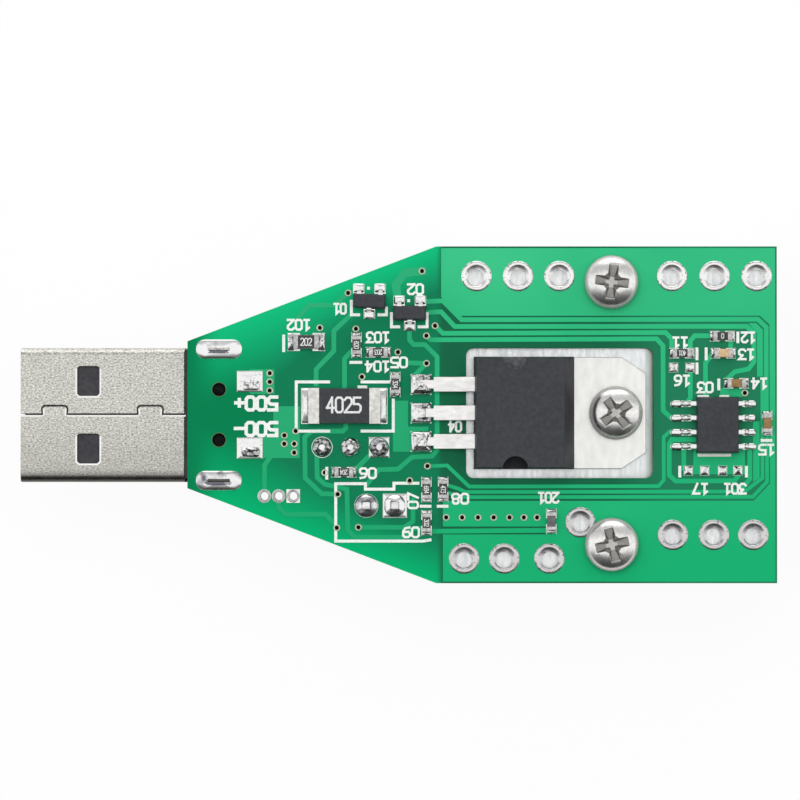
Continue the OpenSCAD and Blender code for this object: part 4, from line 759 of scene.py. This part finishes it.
low_bend_shade = worked_out(tree, "MULTIPLY", low_bend, along(tree, "Z", 13.9, 14.3))
# Painted shade: the shell darkens towards its lower side, most on its lower bend.
blended(nickel, along(tree, "Y", 0.0, -4.6, last=0.24), (120, 117, 110))
blended(nickel, low_bend_shade, (92, 89, 84))
rounded("plug_shell", 0.08, "nickel_shell", nickel, loose=True)
# Painted highlight: bright strips on the windows' lower and side rims, along the seam and on the dovetails'
# flanks.
highlight_strips = bmesh.new()
for y in LATCHES:
    low = y - LATCH_LOW
    high = y + LATCH_HIGH
    rim = [(LATCH_LEFT, high), (LATCH_LEFT, low + LATCH_CORNER), (LATCH_LEFT + LATCH_CORNER, low),
           (LATCH_RIGHT - LATCH_CORNER, low), (LATCH_RIGHT, low + LATCH_CORNER), (LATCH_RIGHT, high)]
    ribbon(highlight_strips, rim, LATCH_STRIP, STRIP_FOOT, STRIP_TOP)
for first, last in SEAM_RUNS:
    ribbon(highlight_strips, [(MOUTH + first, SEAM), (MOUTH + last, SEAM)], EDGE_STRIP, STRIP_FOOT, STRIP_TOP)
for middle in DOVETAILS:
    for side in (-1, 1):
        flank = [(MOUTH + middle + side * 0.96, 0.0), (MOUTH + middle + side * 0.98, 0.5)]
        ribbon(highlight_strips, flank, EDGE_STRIP, STRIP_FOOT, STRIP_TOP - 0.002)
edge_highlight = surface("bright_cut_edge", (236, 236, 232), (248, 248, 246), 4000, (0.12, 0.22), metal=1.0,
                   bump=0.1)
piece("plug_shell_burrs", highlight_strips, "nickel_shell", finishes=[edge_highlight])
black_moulding = surface("black_moulding", (40, 40, 45), (58, 58, 63), 2600, (0.42, 0.6), bump=0.25)
rounded("plug_insulator", 0.08, "plug_plastic", black_moulding)
bare_rim = surface("bare_rim", (46, 92, 58), (96, 120, 84), 3000, (0.4, 0.6))
turned_piece("peg_hole_rims", PEG_RIM, PEG_STEPS, PEGS, TOP, bare_rim, "solder_mask")
# Painted shade: the peg ends are near black, darker than the moulding, for the shade deep in their holes.
peg_shade = surface("burnt_peg", (4, 5, 5), (20, 24, 22), 2400, (0.3, 0.5), bump=0.6, gloss=0.06)
turned_piece("peg_ends", PEG_END, PEG_STEPS, PEGS, TOP, peg_shade, "plug_plastic", loop=False)
gilt = surface("gilt", (206, 160, 84), (238, 200, 122), 3000, (0.2, 0.32), metal=1.0, bump=0.15)
for i in range(1, 5):
    rounded(f"plug_contact_{i}", 0.04, "gold_plate", gilt)


def dome(shape, x, y, length, width, low, rise, corner, turn=0.0, rough=0.0, flat=2.6, seed=0.0, rings=7,
         steps=40, tone=lambda u, v: 0.0):
    """Crowned blob on a rounded-rectangle foot in mm, dented by rough; a higher flat gives a flatter crown.

    tone gives how much painted shade shows at a place, from -1 to 1 along the length and across the width.
    """
    shade = shape.verts.layers.float.get("shade") or shape.verts.layers.float.new("shade")
    corner = min(corner, length / 2, width / 2)
    outline = []
    for i in range(steps):
        angle = 2 * math.pi * (i + 0.5) / steps
        cx = math.cos(angle)
        cy = math.sin(angle)
        outline.append((math.copysign(length / 2 - corner, cx) + corner * cx,
                        math.copysign(width / 2 - corner, cy) + corner * cy))
    spin = Matrix.Rotation(math.radians(turn), 2)
    loops = []
    for k in range(rings + 1):
        size = math.cos(math.pi / 2 * k / (rings + 0.6))
        level = rise * (1 - size ** flat) ** (1 / flat)
        loop = []
        for px, py in outline:
            spot = spin @ Vector((px * size, py * size)) + Vector((x, y))
            sample = Vector((spot.x * DENTS_A_MM + seed, spot.y * DENTS_A_MM, seed))
            dent = rough * noise.noise(sample) * min(1, k / 2)
            made = shape.verts.new((spot.x * MM, spot.y * MM, (low + level + dent) * MM))
            made[shade] = tone(2 * px * size / length, 2 * py * size / width)
            loop.append(made)
        loops.append(loop)
    foot = [shape.verts.new((v.co.x, v.co.y, (low - DOME_FOOT) * MM)) for v in loops[0]]
    skinned(shape, [foot] + loops, False)
    shape.faces.new(loops[-1])
    shape.faces.new(foot[::-1])


# The solder finishes show painted shade as dark specks where joints are painted with shade, mostly on lower
# sides.
solder = surface("solder", (232, 232, 232), (246, 246, 245), 4600, (0.08, 0.18), metal=1.0, bump=0.16)
speckled(solder, (92, 93, 94))
smooth_solder = surface("smooth_solder", (236, 236, 237), (244, 244, 244), 900, (0.08, 0.16), metal=1.0,
                        bump=0.05)
speckled(smooth_solder, (112, 112, 122))
tab_solder = bmesh.new()
# Painted shade: each tab joint is darker in a band in its lower middle, with dark specks elsewhere.
for y, rough, seed, band_half, band_low, band_shade, tone in ((TAB_Y, 0.03, 1, 0.42, -0.42, 1.1, 0.1),
                                                             (-TAB_Y, 0.02, 2, 0.55, -0.5, 1.2, 0.36)):
    dome(tab_solder, TAB_X, y, 4.1, 1.73, PAD_TOP, 0.26, 0.86, flat=1.8, rough=rough, seed=seed, rings=14,
         tone=lambda u, v: band_shade if abs(u) < band_half and band_low < v < 0.0 else tone)
piece("plug_tab_solder", tab_solder, "tin", "plug_tab_solder", finishes=[smooth_solder])

# Power transistor: black epoxy moulded over a tinned copper tab that a screw clamps to the heat sink. Its
# three formed leads are soldered flat to square pads.
LEAD_PADS_X = 2.05
LEAD_PADS_Y = (2.69, 0.15, -2.39)
LEAD_PAD = 1.84
NOTCH_Y = 4.0 * MM
# Three copies of one epoxy: plain, one darkened as painted shade for the right slope and lower notch floor,
# and one lightened as painted light for the upper notch floor.
epoxy, epoxy_painted_shade, epoxy_painted_light = [
    surface(name, dark, light, 3000, (0.5, 0.62), bump=0.2, gloss=0.3)
    for name, dark, light in (("black_epoxy", (50, 52, 57), (60, 62, 67)),
                              ("black_epoxy_slope", (26, 27, 30), (36, 37, 40)),
                              ("black_epoxy_notch", (66, 68, 72), (104, 105, 108)))]
tab_metal = surface("tinned_tab", (234, 234, 230), (247, 247, 244), 1600, (0.26, 0.36), metal=0.9, bump=0.05,
                    stretch=(1, 0.4, 1))
lead_tin = surface("tinned_lead", (228, 226, 224), (250, 249, 247), 2600, (0.24, 0.36), metal=0.9, bump=0.1,
                   stretch=(0.3, 1, 1))
body = softened("transistor_body", 0.14, 3)
body_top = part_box("transistor_body")[1].z
for face in body.faces:
    middle = face.calc_center_median()
    if face.normal.x > 0.2 and face.normal.z > 0.05:
        face.material_index = 1
    elif face.normal.z > 0.9 and abs(middle.y) > NOTCH_Y and middle.z < body_top - 0.1 * MM:
        face.material_index = 2 if middle.y > 0 else 1
piece("transistor_body", body, "package_black", "transistor_body", finishes=[epoxy, epoxy_painted_shade, epoxy_painted_light])
rounded("transistor_tab", 0.07, "tab_metal", tab_metal)
for i in range(1, 4):
    rounded(f"transistor_lead_{i}", 0.06, "lead_tin", lead_tin)
lead_solder = bmesh.new()
# Painted shade: dark specks on each joint, more towards the lead's neck and most at its sides.
for i, y in enumerate(LEAD_PADS_Y):
    dome(lead_solder, LEAD_PADS_X, y, LEAD_PAD, LEAD_PAD, PAD_TOP, 0.5, 0.2, rough=0.24, flat=3.4,
         seed=3.1 * i + 1, rings=10, tone=lambda u, v: 0.2 if u < 0.15 else 0.6 if abs(v) > 0.4 else 0.35)
piece("transistor_solder", lead_solder, "tin", "transistor_solder", finishes=[solder])

# Screws: three plated steel pan-head screws with a cross recess, one through the transistor's tab and two
# through the board, all into the heat sink.
TAB_TOP = 16.3
TAB_SCREW = (19.4, 0.15, 36)
SHANK_R = 1.23
HEAD_R = 2.38
HEAD_TOP = 2.0
HEAD_SIDE = [(HEAD_R, 0.12), (HEAD_R, 0.68), (HEAD_R - 0.02, 0.88), (HEAD_R - 0.08, 1.06),
             (HEAD_R - 0.19, 1.23), (HEAD_R - 0.36, 1.4), (HEAD_R - 0.6, 1.57), (HEAD_R - 0.95, 1.74),
             (0.8, 1.92), (0, HEAD_TOP)]
RECESS = ((2.3, 0.48, 1.72, 0.78), (1.4, 0.38, 1.4, 0.64), (0.6, 0.2, 0.5, 0.28))
RECESS_R = 1.7
RECESS_TONE = 0.46
BRIM_R = 2.08
BRIM_WIDTH = 0.2
steel = surface("plated_steel", (230, 229, 226), (247, 246, 244), 3000, (0.18, 0.3), metal=1.0, bump=0.12)
tree = steel.node_tree
brim = painted(steel, "brim")
blended(steel, painted(steel, "shade"), (84, 82, 78))
blended(steel, brim, (176, 168, 168))
bare = worked_out(tree, "SUBTRACT", 1.0, brim, use_clamp=True)
tree.links.new(bare, tree.nodes["Principled BSDF"].inputs["Metallic"])


def screw(bottom):
    """Pan head with a cross recess, seat at zero, shank down to bottom in mm."""
    body = bmesh.new()
    shank = [(0, bottom), (0.95, bottom), (SHANK_R, bottom + 0.35), (SHANK_R, 0), (HEAD_R - 0.1, 0)]
    lathe(body, shank + HEAD_SIDE, 64)
    cutter = bmesh.new()
    rows = []
    for z, half, reach, core in RECESS:
        outline = []
        for quarter in range(4):
            spin = Matrix.Rotation(math.pi / 2 * quarter, 2)
            for px, py in ((reach, -half), (reach, half), (core, half), (half, core)):
                outline.append(spin @ Vector((px, py)))
        rows.append([cutter.verts.new((p.x * MM, p.y * MM, z * MM)) for p in outline])
    cutter.faces.new(rows[0])
    cutter.faces.new(rows[-1][::-1])
    for upper, lower in zip(rows, rows[1:]):
        for i in range(len(upper)):
            j = (i + 1) % len(upper)
            cutter.faces.new((upper[i], lower[i], lower[j], upper[j]))
    head = placed("head", plain_mesh("head", body))
    tool = placed("cross", plain_mesh("cross", cutter))
    cut = head.modifiers.new("recess", "BOOLEAN")
    cut.object = tool
    cut.solver = "EXACT"
    result = as_built(head)
    for holder in (head, tool):
        bpy.data.objects.remove(holder)
    shape = bmesh.new()
    shape.from_mesh(result)
    bpy.data.meshes.remove(result)
    bmesh.ops.remove_doubles(shape, verts=shape.verts, dist=WELD)
    rim = [e for e in shape.edges if len(e.link_faces) == 2 and e.calc_face_angle() > math.radians(40)
           and min(v.co.z for v in e.verts) > 0.5 * MM]
    rounded_off(shape, rim, 0.05)
    shape.verts.layers.float.new("shade")
    brim = shape.verts.layers.float.new("brim")
    shade = shape.verts.layers.float["shade"]
    for corner in shape.verts:
        radius = corner.co.xy.length / MM
        crown = next(a[1] + (b[1] - a[1]) * (a[0] - radius) / (a[0] - b[0])
                     for a, b in zip(HEAD_SIDE[1:], HEAD_SIDE[2:]) if radius >= b[0])
        sunk = (crown - corner.co.z / MM) / 0.5 if radius < RECESS_R else 0.0
        corner[shade] = RECESS_TONE * min(1.0, max(0.0, sunk))
        corner[brim] = min(1.0, max(0.0, (radius - BRIM_R) / BRIM_WIDTH))
    return shape


for name, spots, seat in (("transistor_screw", [TAB_SCREW], TAB_TOP), ("board_screws", BOARD_SCREWS, TOP)):
    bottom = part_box(name)[0].z / MM - seat
    repeated(name, screw(bottom), spots, seat, steel, "screw_steel", name, corner=32)

# Shunt resistor: a current-sensing resistor in a dark moulded body with broad tinned ends, soldered to two
# pads. Its plain number is printed in white.
shunt_coat = surface("shunt_coat", (50, 53, 56), (60, 63, 66), 3000, (0.45, 0.6), bump=0.2, gloss=0.3)
rounded("shunt_body", 0.05, "package_black", shunt_coat)
shunt_tin = surface("shunt_tin", (202, 201, 195), (238, 237, 232), 2600, (0.24, 0.36), metal=0.9, bump=0.1)
rounded("shunt_terminals", 0.1, "lead_tin", shunt_tin)
marks = bmesh.new()
shunt_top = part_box("shunt_body")[1].z / MM
number(marks, "4025", -4.82, 0.86, 3.0, 1.3, 0.19, shunt_top - 0.03, shunt_top + 0.006, turn=0)

# Flat packages: an eight-lead amplifier and two three-lead parts, black epoxy with tinned gull-wing leads,
# each soldered to its pad with a small bright lump.
AMPLIFIER_X = 28.4
AMPLIFIER_Y = -0.93
LEAD_PITCH = 1.27
AMPLIFIER_LUMPS = ((AMPLIFIER_X - 3.58, 1.08, 0.7, 0.3, 0.7), (AMPLIFIER_X - 2.78, 0.8, 0.54, 0.42, 0.1),
                   (AMPLIFIER_X + 3.05, 0.94, 0.7, 0.3, 0.2), (AMPLIFIER_X + 2.62, 0.56, 0.54, 0.42, 0.1))
THREE_LEADS = ((-2.55, 10.1), (1.05, 9.04))
THREE_LEADS_X = 0.95
THREE_LEADS_Y = 1.2
LUMP_FOOT = PAD_TOP - 0.02
LUMP_STEPS = 24
for name, radius in (("amplifier", 0.07), ("reference", 0.05), ("switch", 0.05)):
    rounded(f"{name}_body", radius, "package_black", epoxy)
for name in ("amplifier", "reference", "switch"):
    rounded(f"{name}_leads", 0.03, "lead_tin", solder)
joints = bmesh.new()
# Painted shade: the lumps are painted for dark specks on their lower sides.
for i in range(4):
    row = AMPLIFIER_Y + (1.5 - i) * LEAD_PITCH
    for x, length, width, rise, shade_share in AMPLIFIER_LUMPS:
        dome(joints, x, row, length, width, LUMP_FOOT, rise, 0.34, rough=0.03, seed=x + i, steps=LUMP_STEPS,
             tone=lambda u, v: 0.0 if v > -0.4 else shade_share)
for cx, cy in THREE_LEADS:
    for px, py in ((cx - THREE_LEADS_X, cy + THREE_LEADS_Y), (cx + THREE_LEADS_X, cy + THREE_LEADS_Y),
                   (cx, cy - THREE_LEADS_Y)):
        dome(joints, px, py, 0.96, 0.84, LUMP_FOOT, 0.26, 0.12, rough=0.1, flat=2.8, seed=px, rings=5,
             steps=LUMP_STEPS, tone=lambda u, v: 0.0 if v > -0.3 else 0.2)

# Chip parts: thick-film resistors with a black glassy coat and a tiny number, a thermistor, and three
# ceramic capacitors. Each is soldered by its tinned ends.
CHIP_L = 1.65
CHIP_W = 0.82
RESISTORS = [(-3.70, 6.2, 90, "820"), (-1.75, 5.56, 0, "203"), (-0.25, 2.7, 90, "334"),
             (-4.82, -5.12, 0, "204"), (2.53, -6.67, 90, "684"), (2.54, -9.62, 90, "302"),
             (4.02, -6.64, 90, "473"), (25.29, 5.48, 0, "401"), (28.89, 7.0, 0, "0")]
OTHER_CHIPS = ((28.97, 5.48, 0), (30.13, 2.8, 0), (32.87, -0.77, 90), (13.65, -9.48, 90))
LARGE_X = -8.17
LARGE_Y = 6.48
alumina = surface("alumina", (214, 212, 206), (238, 236, 230), 3000, (0.5, 0.7), bump=0.3)
glass_coat = surface("resistor_coat", (30, 30, 31), (58, 58, 60), 3600, (0.22, 0.4), bump=0.3)
for name, radius in [(f"chip_resistor_{i}", 0.03) for i in range(1, 10)] + [("large_resistor", 0.04)]:
    body = softened(name, radius)
    for face in body.faces:
        face.material_index = 0 if face.normal.z > 0.5 else 1
    piece(name, body, "resistor_coat", name, finishes=[glass_coat, alumina])
grey = surface("thermistor_grey", (78, 78, 80), (104, 104, 106), 3600, (0.35, 0.5), bump=0.3)
rounded("thermistor", 0.06, "thermistor_grey", grey)
tan = surface("ceramic_tan", (192, 158, 118), (218, 188, 148), 3200, (0.4, 0.55), bump=0.25)
brown = surface("ceramic_brown", (126, 98, 56), (154, 122, 78), 3200, (0.4, 0.55), bump=0.25)
rounded("chip_capacitor_1", 0.07, "capacitor_tan", tan)
for i in (2, 3):
    rounded(f"chip_capacitor_{i}", 0.07, "capacitor_brown", brown)
cap_tin = surface("cap_tin", (166, 166, 165), (224, 224, 222), 4200, (0.22, 0.36), metal=1.0, bump=0.15)
rounded("chip_end_caps", 0.06, "tin", cap_tin)
chip_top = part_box("chip_resistor_1")[1].z / MM
for x, y, turn, text in RESISTORS:
    width = 0.62 if len(text) > 1 else 0.2
    number(marks, text, x, y, width, 0.4, 0.06, chip_top - 0.02, chip_top + 0.004, turn + 180)
large_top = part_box("large_resistor")[1].z / MM
number(marks, "202", LARGE_X, LARGE_Y, 0.95, 0.62, 0.09, large_top - 0.02, large_top + 0.004, turn=0)
mark_ink = surface("mark_ink", (206, 208, 208), (236, 237, 236), 6000, (0.5, 0.65), bump=0.2)
piece("part_marks", marks, "white_nylon", finishes=[mark_ink])


def ends(x, y, turn, length, width, height, reach, shade_share=0.38):
    """Lump of solder outside both ends of a chip part."""
    spin = Matrix.Rotation(math.radians(turn), 2)
    for side in (-1, 1):
        spot = spin @ Vector((side * (length / 2 + reach / 2 - 0.04), 0)) + Vector((x, y))
        dome(joints, spot.x, spot.y, reach + 0.1, width, LUMP_FOOT, height, 0.12, turn, rough=0.12, flat=1.7,
             seed=x + side, rings=5, steps=LUMP_STEPS, tone=lambda u, v: shade_share)


# Painted shade: the lumps at the chip ends show dark specks all over.
for x, y, turn, text in RESISTORS:
    ends(x, y, turn, CHIP_L, CHIP_W + 0.08, 0.26, 0.3)
for x, y, turn in OTHER_CHIPS:
    ends(x, y, turn, CHIP_L, CHIP_W + 0.08, 0.3, 0.3)
ends(LARGE_X, LARGE_Y, 0, 2.25, 1.58, 0.26, 0.55)
ends(-4.78, 0.78, 0, 6.4, 3.1, 0.34, 0.6, shade_share=0.05)

# Bare pads: tinned copper with a thin crown of solder, for two wires near the plug, a row of three small
# holes, and six places left empty beside the amplifier. The pads under the amplifier's leads have round
# corners.
WIRE_PAD_Y = 2.97
EMPTY_PADS = ((24.55, 4.2), (26.0, 4.2), (25.85, -4.98), (27.3, -4.98), (28.9, -4.98), (30.25, -4.98))
SPARE_RIM = [(0.59, 0.02), (0.57, 0.08), (0.48, 0.11), (0.39, 0.09), (0.355, 0.03), (0.355, -1.64),
             (0.42, -1.68), (0.52, -1.68), (0.59, -1.64), (0.59, -1.58), (0.4, -1.58), (0.4, 0.02)]
pads = merged("tinned_pads")
upright = [e for e in pads.edges if (e.verts[0].co - e.verts[1].co).xy.length < WELD
           and abs(e.verts[0].co.x - AMPLIFIER_X * MM) < 4.4 * MM
           and abs(e.verts[0].co.y - AMPLIFIER_Y * MM) < 2.4 * MM]
rounded_off(pads, upright, 0.26, 5)
piece("tinned_pads", pads, "tin", "tinned_pads", finishes=[tin])
# Painted shade: the wire joints and the empty pads show dark specks, the empty pads more on their lower
# halves.
for side, dents, shade_share in ((-1, 0.24, 0.5), (1, 0.1, 0.3)):
    dome(joints, -13.2, side * WIRE_PAD_Y, 2.3, 1.86, PAD_TOP, 0.1, 0.1, rough=0.05, flat=4.0,
         seed=side * 4.0, rings=11, tone=lambda u, v: 0.1)
    dome(joints, -13.1, side * WIRE_PAD_Y - 0.36, 1.75, 0.95, PAD_TOP, 0.26, 0.45, rough=dents, flat=2.2,
         seed=side * 6.0, tone=lambda u, v: shade_share)
for x, y in EMPTY_PADS:
    dome(joints, x, y, 0.8, 0.84, LUMP_FOOT, 0.2, 0.06, rough=0.14, flat=2.0, seed=x, rings=5,
         steps=LUMP_STEPS, tone=lambda u, v: 0.45 if v < 0.1 else 0.2)
piece("small_joints", joints, "tin", finishes=[solder])
rim_tin = surface("rim_tin", (146, 148, 146), (206, 207, 205), 3200, (0.26, 0.4), metal=0.8, bump=0.2)
turned_piece("spare_hole_rims", SPARE_RIM, 32, SPARE_HOLES, TOP, rim_tin, "tin")

# Trimmer: a multi-turn trimming potentiometer under the board, a blue box closed by a potted base. A brass
# worm screw turns a toothed rotor with the wiper over a ceramic element; its three pins are soldered on
# this side.
PIN_END = [(0, PAD_TOP), (0.25, PAD_TOP), (0.25, PAD_TOP + 0.62), (0.19, PAD_TOP + 0.7), (0, PAD_TOP + 0.72)]
blue = surface("trimmer_blue", (22, 72, 166), (30, 84, 180), 2200, (0.36, 0.5), bump=0.2)
rounded("trimmer_housing", 0.15, "trimmer_blue", blue)
potted = surface("potting", (44, 48, 56), (66, 70, 78), 2000, (0.3, 0.45), bump=0.3)
rounded("trimmer_base", 0.06, "potting", potted)
brass = surface("brass", (186, 146, 74), (222, 186, 112), 3400, (0.22, 0.36), metal=1.0, bump=0.3)
rubber = surface("seal_rubber", (34, 28, 24), (52, 44, 40), 2600, (0.6, 0.8), bump=0.3)
for name, finish in (("trimmer_element", alumina), ("trimmer_rotor", ink), ("trimmer_wiper", brass),
                     ("trimmer_seal", rubber), ("trimmer_pins", lead_tin), ("trimmer_screw", brass)):
    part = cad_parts[name]
    part.data.materials.clear()
    part.data.materials.append(finish)
trimmer_joints = bmesh.new()
rough_solder = surface("rough_solder", (206, 208, 210), (244, 244, 244), 3000, (0.06, 0.16), metal=1.0,
                       bump=0.7)
speckled(rough_solder, (66, 68, 70))
# Painted shade: dark specks on each joint, more in a ring round its pin.
for (x, y), on_square, shade_share in zip(TRIMMER_PINS, (False, False, True), (0.36, 0.1, 0.3)):
    if on_square:
        dome(trimmer_joints, x, y, 1.84, 1.84, PAD_TOP, 0.12, 0.12, rough=0.04, flat=3.0, seed=x)
    dome(trimmer_joints, x, y, 1.8, 1.8, PAD_TOP, 0.52, 0.9, rough=0.2, flat=1.9, seed=x, rings=11,
         tone=lambda u, v: shade_share + 0.25 if 0.3 < math.hypot(u, v) < 0.85 else shade_share)
    lathe(trimmer_joints, PIN_END, 24, x=x, y=y)
piece("trimmer_solder", trimmer_joints, "tin", "trimmer_solder", finishes=[rough_solder])

# Wire header: a two-pin header moulded in white nylon, under the board. Its square pins come through the
# board and are soldered on this side, one on a round pad and one on a square pad.
HEADER_PAD = 2.1
nylon = surface("white_nylon", (226, 224, 214), (242, 240, 232), 2200, (0.45, 0.6), bump=0.2)
rounded("header_housing", 0.15, "white_nylon", nylon)
rounded("header_pins", 0.05, "lead_tin", lead_tin)
header_joints = bmesh.new()
round_pin, square_pin = HEADER_PINS
# Painted shade: dark specks in a ring round each pin, all over the round pin's joint and on the square one's
# lower side.
dome(header_joints, *round_pin, HEADER_PAD, HEADER_PAD, PAD_TOP, 0.5, HEADER_PAD / 2, rough=0.06, flat=1.7,
     seed=round_pin[0], rings=14, tone=lambda u, v: 0.95 if 0.3 < max(abs(u), abs(v)) < 0.42 else 0.6)
dome(header_joints, *square_pin, HEADER_PAD, HEADER_PAD, PAD_TOP, 0.12, 0.12, rough=0.03, flat=3.0,
     seed=square_pin[0])
dome(header_joints, *square_pin, 1.9, 2.0, PAD_TOP + 0.04, 0.46, 0.8, rough=0.06, flat=1.7,
     seed=square_pin[0], rings=14,
     tone=lambda u, v: (0.8 if 0.3 < max(abs(u), abs(v)) < 0.42
                        else 0.5 if v < -0.35 and abs(u) < 0.5 else 0.1))
piece("header_solder", header_joints, "tin", "header_solder", finishes=[smooth_solder])
